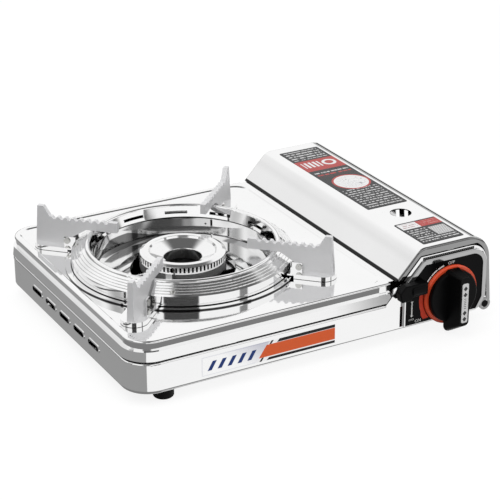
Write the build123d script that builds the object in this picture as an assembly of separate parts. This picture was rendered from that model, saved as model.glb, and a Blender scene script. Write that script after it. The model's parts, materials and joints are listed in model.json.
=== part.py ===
from build123d import *
import math
import os

# Butane cassette stove. Millimetres, +Z up, knob at the front (-Y), lid at the right (+X).
# Pieces are drawn from the front left upper corner of the top plate, and are moved on export so that
# the origin lies under the middle of the whole stove, on the surface that it stands on.
# Heights named drop or bottom are measured from the plate's upper face.

# ---------------------------------------------------------------- clearances
play = 0.3             # between pieces that move past each other
running = 0.06         # round a shaft in its bore
screw_play = 0.2       # round a screw in its hole
snug = 0.1             # between pieces that are fitted into each other

# ---------------------------------------------------------------- layout
plate_depth = 262.0    # front edge to back edge
plate_middle = plate_depth / 2
partition_x = 236.0    # wall between burner and cartridge compartment, from the plate's left edge
compartment_width = 95.2
case_right = partition_x + compartment_width

# ---------------------------------------------------------------- top plate
plate_sheet = 1.0
plate_corner = 22.0
plate_edge_round = 1.6
rim_height = 8.8       # upper band of the skirt
rim_draft = 1.1        # how far the upper band leans in
skirt_height = 8.0     # lower band of the skirt
skirt_ledge = 1.2      # outer edge of the step between the bands
skirt_proud = 2.3      # lower edge of the skirt beyond the plate's edge
panel_right_edge = partition_x - 2.7
border = 6.8           # raised border round the sunk panel
recess_depth = 0.8
recess_corner = 15.0
recess_slope = 1.2
tongue_width = 13.8    # flat strip of the plate under the lid's edge
tongue_inset = 3.0
notch_end = 4.0        # the rim's notch beside the lid, left of the partition
notch_width = 7.0
notch_depth = 7.0

# ---------------------------------------------------------------- lower case
case_sheet = 1.0
case_proud = 1.8       # case walls beyond the plate's edge
case_height = 27.7
case_gap = 1.9         # dark joint between skirt and case
case_lip = 2.4         # turned-in lip along the case's upper edge
case_lip_round = 2.0
case_bottom_round = 3.5
case_right_top = -12.0  # upper edge of the right wall
case_right_margin = 12.0
case_edge_round = 2.0  # upright edges at the back and the right
case_cut_width = 9.8   # cut corner that clears the hinge
case_cut_height = 13.9
end_wall_left = partition_x - 5.3    # foot of the raised end wall's slope
end_wall_top = 17.8
end_wall_slope = 0.92  # run for each mm of rise
end_wall_round = 17.0
end_wall_toe = 2.0     # round where the slope meets the level wall
skirt_gap = 1.6        # between the skirt's cut end and the end wall's slope
foot_height = 11.0
foot_radius = 8.6
foot_round = 2.0
foot_left = 31.0
foot_right = case_right - 31.2
foot_inset = 14.0      # from the plate's front and back edges
foot_behind_panel = 44.0
foot_places = {
    "front_left": (foot_left, foot_inset),
    "back_left": (foot_left, plate_depth - foot_inset),
    "front_right": (foot_right, foot_behind_panel),
    "back_right": (foot_right, plate_depth - foot_inset),
}

louvre_count = 5
louvre_pitch = 29.3
louvre_first = 191.2   # middle of the rearmost slot, from the plate's front
louvre_length = 20.0
louvre_slot = 4.4
louvre_drop = 31.0     # slot centre line below the plate
louvre_lip = 0.5
louvre_lip_width = 1.3

# ---------------------------------------------------------------- compartment lid
lid_sheet = 1.0
lid_spare = 12.0       # how far the section is drawn too long before it is cut
lid_overhang = 1.0     # lid beyond the plate at front and back
lid_left = partition_x + 5.0         # lower left edge of the lid
lid_foot = 0.4         # that edge above the plate
lid_shoulder = partition_x + 28.6    # where slope and top would meet
lid_top = 25.2
lid_right_top = case_right + 2.9
lid_right = case_right + 7.6         # lower right edge
lid_drop = 38.0        # lower right edge below the plate
lid_shoulder_round = 14.0
lid_corner_round = 23.0
lid_flange = 4.4       # turned-in rim at each end of the lid
lid_top_flange = 6.6   # the same along the flat top
lid_end_round = 2.0    # outer edges of those rims
lid_eye_radius = 5.6   # eye round each hinge cap
lid_hole_radius = 9.5
lid_hole_x = case_right - 38.7
lid_hole_y = 72.8
vent_width = 6.0       # upright vents in the lid's right side
vent_ends = (-16.0, 4.0)
vent_places = (plate_middle - 3.7, plate_middle + 10.8)
label_sheet = 0.3
label_left = lid_hole_x - 21.0
label_right = lid_hole_x + 19.9
large_label = (92.4, plate_depth - 13.0)
small_label = (6.0, 51.5)
catch_length = 16.0
catch_start = 58.0     # from the plate's front and back edges
catch_places = (catch_start, plate_depth - catch_start - catch_length)
catch_inset = 4.6      # from the lid's left edge
catch_foot = 4.0
catch_sheet = 0.8
catch_height = 4.4
catch_lean = 1.6

hinge_x = case_right + 1.5
hinge_drop = 41.0
hinge_rod_radius = 2.0
hinge_cap_radius = 3.1
hinge_cap_length = 3.0
knuckle_wall = 0.9
knuckle_length = 16.0
knuckle_inset = 24.0
knuckle_places = (
    knuckle_inset,
    plate_middle - knuckle_length / 2,
    plate_depth - knuckle_inset - knuckle_length,
)
bracket_length = 8.0
bracket_inset = 6.0
bracket_spread = 15.0  # from the middle to the nearest side of a bracket
bracket_places = (
    bracket_inset,
    plate_middle - bracket_spread - bracket_length,
    plate_middle + bracket_spread,
    plate_depth - bracket_inset - bracket_length,
)
bracket_radius = 3.4
bracket_foot = (5.0, 14.0)    # the bracket's foot along the cut corner

# ---------------------------------------------------------------- burner
burner_x = 107.5
burner_y = plate_middle - 3.0
shield_radius = 78.5   # outside of the wind shield
shield_sheet = 0.8
shield_top = 6.0
shield_bottom = -9.0
shield_seam = 2.0
shield_seam_angle = 44.0
shield_hole_radius = 0.9
shield_hole_height = 1.0
shield_hole_turn = 4.0  # degrees beyond the seam
pan_sheet = 0.8
pan_floor = -11.0
pan_hole_radius = 45.5
pan_lip = -7.5
pan_flange = 6.0
pan_lip_run = 11.0     # run of the slope up to the lip
pan_collar = 5.0       # edge turned down inside the hole
pan_bevel = 7.0        # run of the slope up to the wall
cap_radius = 37.0
cap_top = 10.0
cap_bottom = 2.4
cap_wall = 4.0
cap_sheet = 1.4
cap_step = 1.2         # run of the step up from the dish to the crown
cap_crown = 3.4        # outside of the crown, from the cap's edge
cap_bevel = 1.6
cap_soft = 0.8         # rounding of the cap's edges
slot_top = 8.4
slot_bottom = 3.8
slot_count = 66
slot_width = 1.7
dish_radius = 28.0
dish_edge = 8.0
throat_radius = 16.2
throat_edge = 3.2
throat_bottom = -6.0
chamber_radius = 20.0
chamber_wall = 2.0
chamber_bottom = -40.0
bowl_bottom = -14.0    # where the bowl leaves the chamber
bowl_side = -6.0       # where the bowl's slope meets its upright wall
bowl_round = 3.0
stand_sheet = 2.0
stand_leg_radius = 30.0
stand_leg_width = 9.0
stand_leg_half = 5.0
stand_angles = (30.0, 150.0, 270.0)

electrode_angle = 228.0
electrode_reach = 42.4  # from the burner's axis
electrode_radius = 1.5
electrode_top = 3.4
electrode_bottom = -26.0
wire_radius = 0.5
wire_length = 1.4
hood_width = 5.4
hood_depth = 4.6
hood_sheet = 0.6
hood_top = 6.0
hood_arm = -18.0
hood_arm_width = 8.0
hood_arm_sheet = 1.2
lead_radius = 1.2
lead_bend = 5.0
lead_level = -42.0     # where the lead lies above the case floor
lead_knee = -38.0      # end of its drop from the electrode
lead_corner = (18.0, -42.0)   # first corner on the floor, from the electrode
lead_run = 75.0        # second corner on the floor, from the electrode
lead_front = 22.0      # its distance from the plate's front
lead_pass = (16.0, 12.0, -37.0)   # corner before the partition: left of it, from the front, level
lead_end_y = 20.0
lead_end = 12.0        # straight last run into the igniter

# ---------------------------------------------------------------- trivet
ring_margin = 0.5      # between the ring's foot and the border of the sunk panel
ring_flange = 5.2
ring_foot_radius = burner_x - border - ring_margin
ring_wall_radius = ring_foot_radius - ring_flange
ring_shoulder = 9.4    # top of the ring's upright wall
bead_radius = ring_wall_radius - 13.8    # middle of the rolled bead
bead_height = 16.2
bead_tube = 2.2
ring_sheet = 1.0
ring_hem = 0.6         # rolled edge of the ring's foot
ring_inner_bottom = 8.0
ring_inner_lean = 3.2  # its lower edge nearer the axis
ring_rib_count = 4
ring_rib = 0.45
ring_slot_count = 12
ring_slot_span = 15.0  # degrees
ring_slot_height = 2.4
ring_slot_middle = 11.8

blade_reach = ring_wall_radius + 38.0    # foot of the blade's outer edge
blade_lean = 2.0
blade_top = 36.5
teeth_top = 27.4
horn_width = 5.5
horn_run = 5.5
blade_inner = 58.2
blade_step = ring_wall_radius + 6.0      # inner end of the blade's foot
blade_step_top = 9.6
blade_bend = bead_radius + 5.3           # where the blade's lower edge turns level
blade_angles = (45.0, 135.0, 225.0, 315.0)
blade_names = ("back_right", "back_left", "front_left", "front_right")
blade_thick_foot = 6.0
blade_thick_top = 4.2
tooth_count = 8
tooth_depth = 2.0
tooth_start = blade_inner + 5.8
tooth_end = blade_reach - 15.0
tooth_share = 0.3      # share of the pitch that is the tooth's flat top
tooth_lean = 1.4
tongue_reach = blade_reach + 2.0
tongue_half = 11.5
tongue_sheet = 1.4
tongue_top = 3.4
tongue_rim = 1.4
tongue_gap = 0.8       # between the ring's foot and the tongue's rim
lug_start = ring_wall_radius + 1.0
lug_length = 10.5
lug_sheet = 1.6
lug_top = 11.0
rivet_radius = 1.6
rivet_head = 2.8
rivet_head_height = 1.0
rivet_inset = 2.8      # from the lug's outer end
rivet_reach = lug_start + lug_length - rivet_inset
rivet_height = 7.4

# ---------------------------------------------------------------- gas train
mixer_drop = 28.0
mixer_radius = 9.0
mixer_sheet = 1.0
mixer_end = 118.0      # where the bell mouth starts, from the burner's axis
mixer_angle = -38.8
bell_radius = 12.5
bell_length = 9.0
shutter_sheet = 0.8
shutter_start = 96.0
shutter_length = 16.0
shutter_window = 8.0
pipe_radius = 3.0
pipe_bend = 8.0
pipe_y = 22.0
pipe_drop = 12.0       # at the regulator
jet_radius = 4.5
jet_tip = mixer_end + 3.0
jet_length = 14.0
jet_socket = 6.0
jet_bore = 0.5
jet_bracket_reach = jet_tip + 9.0
jet_bracket_width = 20.0
jet_bracket_foot = 12.0
jet_bracket_top = 3.0  # above the jet
bracket_sheet = 1.5
pipe_turn = (26.0, 4.0)       # corners right of the partition
pipe_slant = (4.0, 10.0)      # how far back and down the pipe goes between them
pipe_approach = 31.0   # last corner, from the jet's tip
partition_sheet = 1.0
partition_ends = 4.0
partition_top = -1.2
partition_foot = 9.0
partition_hole = 6.0
partition_foot_half = 40.0
partition_foot_ends = (plate_middle - partition_foot_half, plate_middle + partition_foot_half)
partition_screw_inset = 10.0
heat_strip_width = 16.0
heat_strip_sheet = 1.2
heat_strip_top = -15.0
heat_strip_start = 144.0
heat_strip_rise = 8.0

knob_x = case_right - 37.2
socket_x = knob_x - 5.0       # axis of the cartridge and its socket
socket_drop = 11.0
socket_radius = 17.0
socket_bore = 13.4
socket_depth = 9.0
socket_key = 4.0
socket_key_height = 3.0
socket_floor = 2.0
valve_hole = 2.6       # takes the cartridge's own valve stem
seal_radius = 4.2
seal_height = 1.6
gas_hole = 1.2
gas_hole_depth = 8.0
regulator_left = socket_x - 6.0
regulator_right = socket_x + 23.0
regulator_front = 7.0
regulator_back = 32.0
regulator_top = -4.0
regulator_bottom = -37.0
regulator_round = 3.0
regulator_leg = 6.0
diaphragm_radius = 15.5
diaphragm_depth = 9.0
diaphragm_crown = 11.0

# ---------------------------------------------------------------- control panel and knob
panel_left = partition_x + 13.6
panel_right = case_right - 4.2
panel_top = 10.4
panel_bottom = -42.2
panel_sheet = 0.8
panel_slope_x = partition_x + 21.0   # a point of the sloping edge, and its rise for each mm of run
panel_slope_z = -1.4
panel_slope = 1.045
panel_corner = 11.0
panel_cut_width = 6.0
panel_cut_height = 10.7
panel_soft = 0.8       # small rounds at the cut corner
panel_shoulder = 2.0   # round where slope and top meet
bezel_width = 4.3
bezel_strip = 2.0      # narrow left side of the bezel
bezel_proud = 1.6
bezel_chamfer = 0.6
bezel_cut = 0.6        # how much closer the cut corner's trim is
decal = (57.7, 180.9, -40.5, -23.9)
decal_sheet = 0.2

knob_drop = 21.7
dial_radius = 26.5
dial_depth = 2.6
dial_chamfer = 1.0
knob_radius = 23.4
knob_face = -10.0
knob_edge_round = 1.6
grip_back = -6.2
grip_face = -25.0
grip_half_front = 4.6
grip_half_foot = 7.8
grip_up_foot = 24.6
grip_up_front = 23.0
grip_down_front = 21.2
grip_down_foot = 33.4
grip_foot_round = 6.8  # lower corners of the grip's foot
grip_round = 3.6
grip_toe_round = 2.0   # upper corners of the grip's face
insert_length = 36.0
insert_width = 6.2
insert_sheet = 0.4
insert_round = 1.5
stem_radius = 3.0
stem_front = -19.0
stem_back = 22.0
cam_hub = 8.0
cam_reach = 25.5
cam_arm = 6.0
cam_front = 0.8
cam_sheet = 2.5
cam_nose = 8.0         # front of the nose that presses the plunger
cam_nose_width = 3.0
cam_nose_start = 21.0
knob_turn = 115.0

piezo_x = knob_x - 18.5
piezo_drop = 36.0
piezo_half = 6.0
piezo_front = 12.0
piezo_back = 38.0
piezo_round = 1.5
plunger_radius = 2.4
plunger_front = 4.6
plunger_length = 20.0
plunger_travel = 4.0

# ---------------------------------------------------------------- lock lever and carriage
lever_gap = 1.1        # between lever and dial ring
lever_tip = partition_x + 2.4
lever_foot_left = partition_x + 4.6
lever_left = partition_x + 8.0
lever_step = partition_x + 15.0
lever_right = knob_x - dial_radius - lever_gap
lever_top = -1.5
lever_ledge = -12.6    # underside of the finger ledge, right of the step
lever_bottom = -15.6
lever_back = -3.8
lever_face = -11.0
lever_round = 1.2
lever_corner = 1.5
lever_tip_drop = 5.7   # pointed tip below the lever's top
lever_travel = 14.0
slot_left = lever_left + 0.5
slot_right = slot_left + 2.6
slot_upper = -6.5
slot_spare = 13.6      # slot below the tab's lowest place
slide_left = slot_left - 0.9
slide_right = slot_right + 4.4
slide_top = -7.0
slide_bottom = -24.0
slide_sheet = 1.2
slide_tab = 6.4        # height of the tab through the slot
slide_margin = 1.0     # tab below the slide's upper edge
carriage_travel = 6.0
carriage_back = plate_depth - 15.0
carriage_sheet = 2.0
rail_left = partition_x + 3.3
rail_width = 4.2
rail_bottom = -45.0
rail_top = -40.8
push_disc = 22.0
push_neck = 12.0       # half width between disc and plate
push_overlap = 2.0
push_right = socket_x + push_disc + 1.0
push_top = -30.0
guide_sheet = 1.4
guide_length = 10.0
guide_start = 60.0     # from the plate's front and back edges
guide_places = (guide_start, plate_depth - guide_start - guide_length)

screw_radius = 1.5
screw_head = 3.0
screw_head_height = 1.4
screw_length = 3.6

# ---------------------------------------------------------------- worked out from the above
skirt_bottom = -rim_height - skirt_height
case_top = skirt_bottom - case_gap
case_floor = case_top - case_height
floor_inside = case_floor + case_sheet
case_back = plate_depth + case_proud
sunk_floor = -plate_sheet - recess_depth
trivet_foot = -recess_depth + play
bead_top = bead_height + bead_tube
panel_face = -case_proud - panel_sheet
wall_inside = case_sheet - case_proud
slot_lower = slide_top - slide_margin - slide_tab - lever_travel - slot_spare
rail_right = rail_left + rail_width
carriage_front = wall_inside + carriage_travel + case_bottom_round
cam_angle = math.degrees(math.atan2(knob_drop - piezo_drop, piezo_x - knob_x)) % 360 - knob_turn
stove_front = grip_face - insert_sheet
stove_back = plate_depth + skirt_proud
origin = ((lid_right - skirt_proud) / 2, (stove_front + stove_back) / 2, case_floor - foot_height)


# ---------------------------------------------------------------- helpers
def block(x0, x1, y0, y1, z0, z1):
    """Block between two opposite corners."""
    return Pos((x0 + x1) / 2, (y0 + y1) / 2, (z0 + z1) / 2) * Box(x1 - x0, y1 - y0, z1 - z0)


def outline(points, radii=0.0):
    """Closed face with rounded corners."""
    return make_face(FilletPolyline(*points, radius=radii, close=True))


def rectangle(x0, x1, y0, y1, radii=0.0):
    """Rectangle with rounded corners, listed from its lower left corner anticlockwise."""
    return outline([(x0, y0), (x1, y0), (x1, y1), (x0, y1)], radii)


def across(face, y0, y1):
    """Prism along Y of a face drawn in X and Z."""
    return Pos(0, y1, 0) * extrude(Plane.XZ * face, y1 - y0)


def along(face, x0, x1):
    """Prism along X of a face drawn in Y and Z."""
    return Pos(x0, 0, 0) * extrude(Plane.YZ * face, x1 - x0)


def turned(points, radii=0.0):
    """Solid turned about the burner's axis, from a section drawn in radius and height."""
    return Pos(burner_x, burner_y, 0) * revolve(Plane.XZ * outline(points, radii), Axis.Z)


def rod(start, end, radius):
    """Round bar between two points."""
    path = Vector(end) - Vector(start)
    return extrude(Plane(origin=start, z_dir=path.normalized()) * Circle(radius), path.length)


def bent_rod(points, radius, bend):
    """Round bar along straight runs joined by arcs."""
    path = FilletPolyline(*points, radius=bend)
    return sweep(Plane(origin=path @ 0, z_dir=path % 0) * Circle(radius), path)


def round_burner(angle):
    """Place on the burner's axis, turned by an angle in degrees."""
    return Pos(burner_x, burner_y, 0) * Rot(0, 0, angle)


def round_mixer(reach):
    """A point of the mixing tube's axis, a distance from the burner's axis."""
    turn = math.radians(mixer_angle)
    return (burner_x + reach * math.cos(turn), burner_y + reach * math.sin(turn), -mixer_drop)


def save(name, *solids):
    """Write one node, moved to the stove's own origin."""
    shape = solids[0] if len(solids) == 1 else Compound(children=list(solids))
    export_step(Pos(-origin[0], -origin[1], -origin[2]) * shape, f"parts/{name}.step")


# ---------------------------------------------------------------- casing
def plate_plan(level, grow, right):
    """Plan of the plate at one level, grown on its free sides."""
    left_round = plate_corner + grow
    plan = rectangle(-grow, right, -grow, plate_depth + grow, [left_round, 0, 0, left_round])
    return (Pos(0, 0, level) * plan).face()


def plate_block(inset):
    """Plate with its two skirt bands, drawn in by a sheet's thickness."""
    right = partition_x - inset
    step = -rim_height - inset
    rim = loft([plate_plan(step, -rim_draft - inset, right), plate_plan(-inset, -inset, right)])
    if not inset:
        rim = fillet(rim.faces().sort_by(Axis.Z)[-1].edges(), plate_edge_round)
    skirt = loft(
        [plate_plan(skirt_bottom, skirt_proud - inset, right), plate_plan(step, skirt_ledge - inset, right)]
    )
    return rim + skirt


def sunk_panel(lower, upper):
    """Block of the sunk panel between two levels, wider at its upper one."""
    faces = []
    for level, grow in ((lower, 0), (upper, recess_slope)):
        low = border - grow
        high = plate_depth - border + grow
        plan = rectangle(low, panel_right_edge + grow, low, high, recess_corner)
        faces.append((Pos(0, 0, level) * plan).face())
    return loft(faces)


def make_top_plate():
    """Pressed plate with a stepped skirt, a sunk panel and the burner well."""
    plate = plate_block(0) - plate_block(plate_sheet)
    strip = (partition_x - border, partition_x + tongue_width)
    plate += block(*strip, tongue_inset, plate_depth - tongue_inset, -plate_sheet, 0)
    end = end_wall_left - skirt_gap
    run = -case_top * end_wall_slope
    beside = [
        (end, case_top),
        (end + run, -plate_sheet),
        (end + 2 * run, -plate_sheet),
        (end + 2 * run, case_top),
    ]
    plate -= across(outline(beside), -skirt_proud - 1, plate_depth + skirt_proud + 1)
    right = partition_x - notch_end
    upper = -plate_edge_round
    plate -= block(right - notch_width, right, -skirt_proud, plate_sheet, upper - notch_depth, upper)
    plate += sunk_panel(sunk_floor, -plate_sheet)
    plate -= sunk_panel(-recess_depth, 0)
    return plate - round_burner(0) * Cylinder(shield_radius + snug, 4 * rim_height)


def end_profile(inset):
    """Section of the case through the compartment, with the raised end wall."""
    left = inset - case_proud
    right = case_right - inset
    floor = case_floor + inset
    top = end_wall_top - inset
    slope_start = end_wall_left + inset
    slope_end = slope_start + (top - case_top) * end_wall_slope
    points = [
        (left, floor),
        (case_right - case_cut_width, floor),
        (right, case_floor + case_cut_height),
        (right, top),
        (slope_end, top),
        (slope_start, case_top),
        (left, case_top),
    ]
    return outline(points, [0, 0, 0, end_wall_round, end_wall_toe, 0, 0])


def case_plan(inset):
    """Plan of the lower case."""
    corner = plate_corner + case_proud - inset
    left = inset - case_proud
    sharp = max(case_edge_round - inset, 0)
    return rectangle(left, case_right - inset, left, case_back - inset, [corner, sharp, sharp, corner])


def case_block(inset):
    """Outside of the lower case, drawn in by a sheet's thickness."""
    plan = Pos(0, 0, case_floor + inset) * extrude(case_plan(inset), end_wall_top - case_floor)
    plan = fillet(plan.faces().sort_by(Axis.Z)[0].edges(), case_bottom_round - inset)
    return across(end_profile(inset), inset - case_proud, case_back - inset) & plan


def right_of(x):
    """All of the case's room right of a plane."""
    return block(x, case_right + 1, -case_proud - 1, case_back + 1, case_floor, 0)


def case_lip_strip():
    """Turned-in lip along the upper edge of the low walls, left of the end wall's slope."""
    plan = case_plan(0) - case_plan(case_lip)
    strip = Pos(0, 0, case_top - case_sheet) * extrude(plan, case_sheet)
    return strip - right_of(end_wall_left - case_sheet)


def case_edge_waste():
    """What the rounding of that edge takes away."""
    low = case_top - 2 * case_lip_round
    slab = Pos(0, 0, low) * extrude(case_plan(0), case_top - low)
    round_slab = fillet(slab.faces().sort_by(Axis.Z)[-1].edges(), case_lip_round)
    return slab - round_slab - right_of(end_wall_left)


def louvre(y, grow, x0, x1):
    """Slotted prism through the left wall."""
    slot = SlotOverall(louvre_length + 2 * grow, louvre_slot + 2 * grow)
    return along(Pos(y, -louvre_drop) * slot, x0, x1)


def make_lower_case():
    """Pressed tray: louvred left side, raised end walls and right wall round the compartment."""
    mouth = Pos(0, 0, case_top - plate_sheet) * extrude(case_plan(case_sheet), 2 * end_wall_top - case_top)
    case = case_block(0) - case_block(case_sheet) - mouth + case_lip_strip()
    case -= case_edge_waste()
    low = case_right_margin
    inner = case_right - 2 * case_sheet
    outer = case_right + case_sheet
    case -= block(inner, outer, low, plate_depth - low, case_right_top, 2 * end_wall_top)
    outside = -case_proud - louvre_lip
    for n in range(louvre_count):
        y = louvre_first - n * louvre_pitch
        case += louvre(y, louvre_lip_width, outside, case_sheet / 2 - case_proud)
        case -= louvre(y, 0, outside - 1, case_sheet)
    wall = (-2 * case_proud, wall_inside + case_sheet)
    case -= block(slot_left, slot_right, *wall, slot_lower, slot_upper)
    case -= rod((knob_x, wall[0], -knob_drop), (knob_x, wall[1], -knob_drop), stem_radius + play)
    for x, y in case_screw_places():
        case -= Pos(x, y, case_floor) * Cylinder(screw_radius + screw_play, 4 * case_sheet)
    return case


def make_partition():
    """Heat shield between burner and cartridge, with holes for the pipe and the ignition lead."""
    ends = (partition_ends, plate_depth - partition_ends)
    wall = block(partition_x, partition_x + partition_sheet, *ends, floor_inside, partition_top)
    foot_left = partition_x - partition_foot
    foot_top = floor_inside + partition_sheet
    foot = block(foot_left, partition_x, *partition_foot_ends, floor_inside, foot_top)
    partition = wall + foot
    for points in (pipe_route(), lead_route()):
        y, z = crossing(points, partition_x)
        start = (partition_x - partition_sheet, y, z)
        end = (partition_x + 2 * partition_sheet, y, z)
        partition -= rod(start, end, partition_hole)
    for x, y in partition_screws():
        partition -= Pos(x, y, floor_inside) * Cylinder(screw_radius + running, 4 * case_sheet)
    return partition


def crossing(points, x):
    """Where a route of straight runs crosses a plane of constant x."""
    for start, end in zip(points, points[1:]):
        if min(start[0], end[0]) <= x <= max(start[0], end[0]):
            share = (x - start[0]) / (end[0] - start[0])
            return [a + share * (b - a) for a, b in zip(start[1:], end[1:])]


def make_foot(x, y):
    """Rubber foot under the case."""
    pad = Pos(x, y, case_floor - foot_height / 2) * Cylinder(foot_radius, foot_height)
    return fillet(pad.faces().sort_by(Axis.Z)[0].edges(), foot_round)


def stand_screws():
    """Screws of the burner stand's legs."""
    feet = [round_burner(angle) * Pos(stand_leg_radius, 0, 0) for angle in stand_angles]
    return [(foot.position.X, foot.position.Y) for foot in feet]


def regulator_screws():
    """Screws of the regulator's two legs."""
    y = (regulator_front + regulator_back) / 2
    return [(regulator_left + regulator_leg / 2, y), (regulator_right - regulator_leg / 2, y)]


def partition_screws():
    """Screws of the partition's foot."""
    front, back = partition_foot_ends
    x = partition_x - partition_foot / 2
    return [(x, front + partition_screw_inset), (x, back - partition_screw_inset)]


def case_screw_places():
    """Every screw through the case floor."""
    return stand_screws() + regulator_screws() + partition_screws()


def make_case_screws():
    """Pan head screws under the case floor."""
    screws = []
    for x, y in case_screw_places():
        head = Pos(x, y, case_floor - screw_head_height / 2) * Cylinder(screw_head, screw_head_height)
        shank = Pos(x, y, case_floor + screw_length / 2) * Cylinder(screw_radius, screw_length)
        screws.append(head + shank)
    return screws


# ---------------------------------------------------------------- lid and hinge
def lid_profile(inset):
    """Section of the lid, drawn long at both ends so that the ends can be cut square."""
    slope = Vector(lid_shoulder - lid_left, lid_top - lid_foot).normalized()
    side = Vector(lid_right - lid_right_top, -lid_drop - lid_top).normalized()
    start = Vector(lid_left, lid_foot) - slope * lid_spare
    end = Vector(lid_right, -lid_drop) + side * lid_spare
    points = [(start.X, start.Y), (lid_shoulder, lid_top), (lid_right_top, lid_top), (end.X, end.Y)]
    face = outline(points, [0, lid_shoulder_round, lid_corner_round, 0])
    if not inset:
        return face
    return offset(face, -inset, kind=Kind.INTERSECTION)


def make_lid():
    """Sheet lid with turned-in ends, a finger hole, side vents, and curls and eyes on the hinge rod."""
    front = -lid_overhang
    back = plate_depth + lid_overhang
    lid = soft_ends(across(lid_profile(0), front, back), lid_end_round)
    inside = across(lid_profile(lid_sheet), front + lid_sheet, back - lid_sheet)
    lid -= soft_ends(inside, lid_end_round - lid_sheet)
    opening = across(lid_profile(lid_flange), front - 1, back + 1)
    lid -= opening - block(0, lid_right, front - 1, back + 1, lid_top - lid_top_flange, lid_top)
    split = case_right
    low = 2 * case_floor
    lid -= block(lid_left - lid_spare, split, front - 1, back + 1, low, lid_foot)
    lid -= block(split - 1, lid_right + lid_spare, front - 1, back + 1, low, -lid_drop)
    lid -= Pos(lid_hole_x, lid_hole_y, lid_top) * Cylinder(lid_hole_radius, 4 * lid_sheet)
    for y in vent_places:
        sides = (y - vent_width / 2, y + vent_width / 2)
        lid -= block(case_right + 1, lid_right + 1, *sides, *vent_ends)
    for y in knuckle_places:
        lid += make_knuckle(y)
    for y in (front, back - lid_sheet):
        eye = Circle(lid_eye_radius) - Circle(hinge_cap_radius + play)
        lid += across(Pos(hinge_x, -hinge_drop) * eye, y, y + lid_sheet)
    return lid


def soft_ends(bar, radius):
    """A prism along Y with the edges of its two ends rounded."""
    ends = bar.faces().sort_by(Axis.Y)
    return fillet(ends[0].edges() + ends[-1].edges(), radius)


def make_knuckle(y):
    """One curl of the lid's right edge round the hinge rod."""
    bore = hinge_rod_radius + running
    outside = bore + knuckle_wall
    inner = lid_right - lid_sheet
    lower = -hinge_drop - outside
    strap = outline(
        [
            (hinge_x, lower),
            (lid_right, -hinge_drop),
            (lid_right, -lid_drop + lid_sheet),
            (inner, -lid_drop + lid_sheet),
            (inner, -hinge_drop),
            (hinge_x, lower + knuckle_wall),
        ]
    )
    curl = Pos(hinge_x, -hinge_drop) * Circle(outside)
    end = y + knuckle_length
    solid = across(curl, y, end) + across(strap, y, end)
    return solid - rod((hinge_x, y - 1, -hinge_drop), (hinge_x, end + 1, -hinge_drop), bore)


def make_hinge_rod():
    """Long steel hinge rod."""
    front = hinge_cap_length
    return rod((hinge_x, front, -hinge_drop), (hinge_x, plate_depth - front, -hinge_drop), hinge_rod_radius)


def make_hinge_caps():
    """Black cap on each end of the rod."""
    ends = [(-lid_overhang, hinge_cap_length), (plate_depth - hinge_cap_length, plate_depth + lid_overhang)]
    return [rod((hinge_x, a, -hinge_drop), (hinge_x, b, -hinge_drop), hinge_cap_radius) for a, b in ends]


def make_hinge_brackets():
    """Ears on the cut corner of the case that carry the rod."""
    cut = Vector(case_cut_width, case_cut_height).normalized()
    corner = Vector(case_right - case_cut_width, case_floor)
    low, high = [corner + cut * reach for reach in bracket_foot]
    axis = Vector(hinge_x, -hinge_drop)
    upper = axis + cut * bracket_radius
    lower = axis - cut * bracket_radius
    web = outline([(v.X, v.Y) for v in (low, lower, upper, high)])
    ear = Pos(hinge_x, -hinge_drop) * Circle(bracket_radius)
    brackets = []
    for y in bracket_places:
        end = y + bracket_length
        hole = rod((axis.X, y - 1, axis.Y), (axis.X, end + 1, axis.Y), hinge_rod_radius + running)
        brackets.append(across(web, y, end) + across(ear, y, end) - hole)
    return brackets


def make_lid_catches():
    """Spring leaves on the plate's tongue, just inside the lid's left edge."""
    foot = lid_left + catch_inset
    leaf = outline(
        [
            (foot, 0),
            (foot + catch_foot, 0),
            (foot + catch_foot, catch_sheet),
            (foot + catch_sheet, catch_sheet),
            (foot + catch_sheet + catch_lean, catch_height),
            (foot + catch_lean, catch_height),
        ]
    )
    return [across(leaf, y, y + catch_length) for y in catch_places]


def make_label(ends):
    """Thin label on the lid's flat top."""
    plan = rectangle(label_left, label_right, *ends, 1.0)
    return Pos(0, 0, lid_top) * extrude(plan, label_sheet)


# ---------------------------------------------------------------- burner
def make_wind_shield():
    """Strip bent round the burner well, open at its seam."""
    inner = shield_radius - shield_sheet
    edge = [(inner, shield_bottom), (shield_radius, shield_bottom)]
    strip = turned(edge + [(shield_radius, shield_top), (inner, shield_top)])
    through = shield_top - shield_bottom
    seam = Pos(shield_radius, 0, 0) * Box(through, shield_seam, 2 * through)
    hole = Pos(shield_radius, 0, shield_hole_height) * Rot(0, 90, 0) * Cylinder(shield_hole_radius, through)
    strip -= round_burner(shield_seam_angle) * seam
    return strip - round_burner(shield_seam_angle + shield_hole_turn) * hole


def make_burner_pan():
    """Dished pan hung under the plate, with a raised and turned-down lip round its hole."""
    wall = shield_radius + snug
    seat = shield_bottom - snug
    hole = pan_hole_radius
    sheet = pan_sheet
    points = [
        (hole, pan_lip),
        (hole + pan_lip_run, pan_floor),
        (wall - pan_bevel, pan_floor),
        (wall, seat),
        (wall, sunk_floor),
        (wall + pan_flange, sunk_floor),
        (wall + pan_flange, sunk_floor - sheet),
        (wall + sheet, sunk_floor - sheet),
        (wall + sheet, seat - sheet),
        (wall - pan_bevel + sheet / 2, pan_floor - sheet),
        (hole + pan_lip_run - sheet / 2, pan_floor - sheet),
        (hole + sheet, pan_lip - sheet),
        (hole + sheet, pan_lip - pan_collar),
        (hole, pan_lip - pan_collar),
    ]
    return turned(points)


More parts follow.
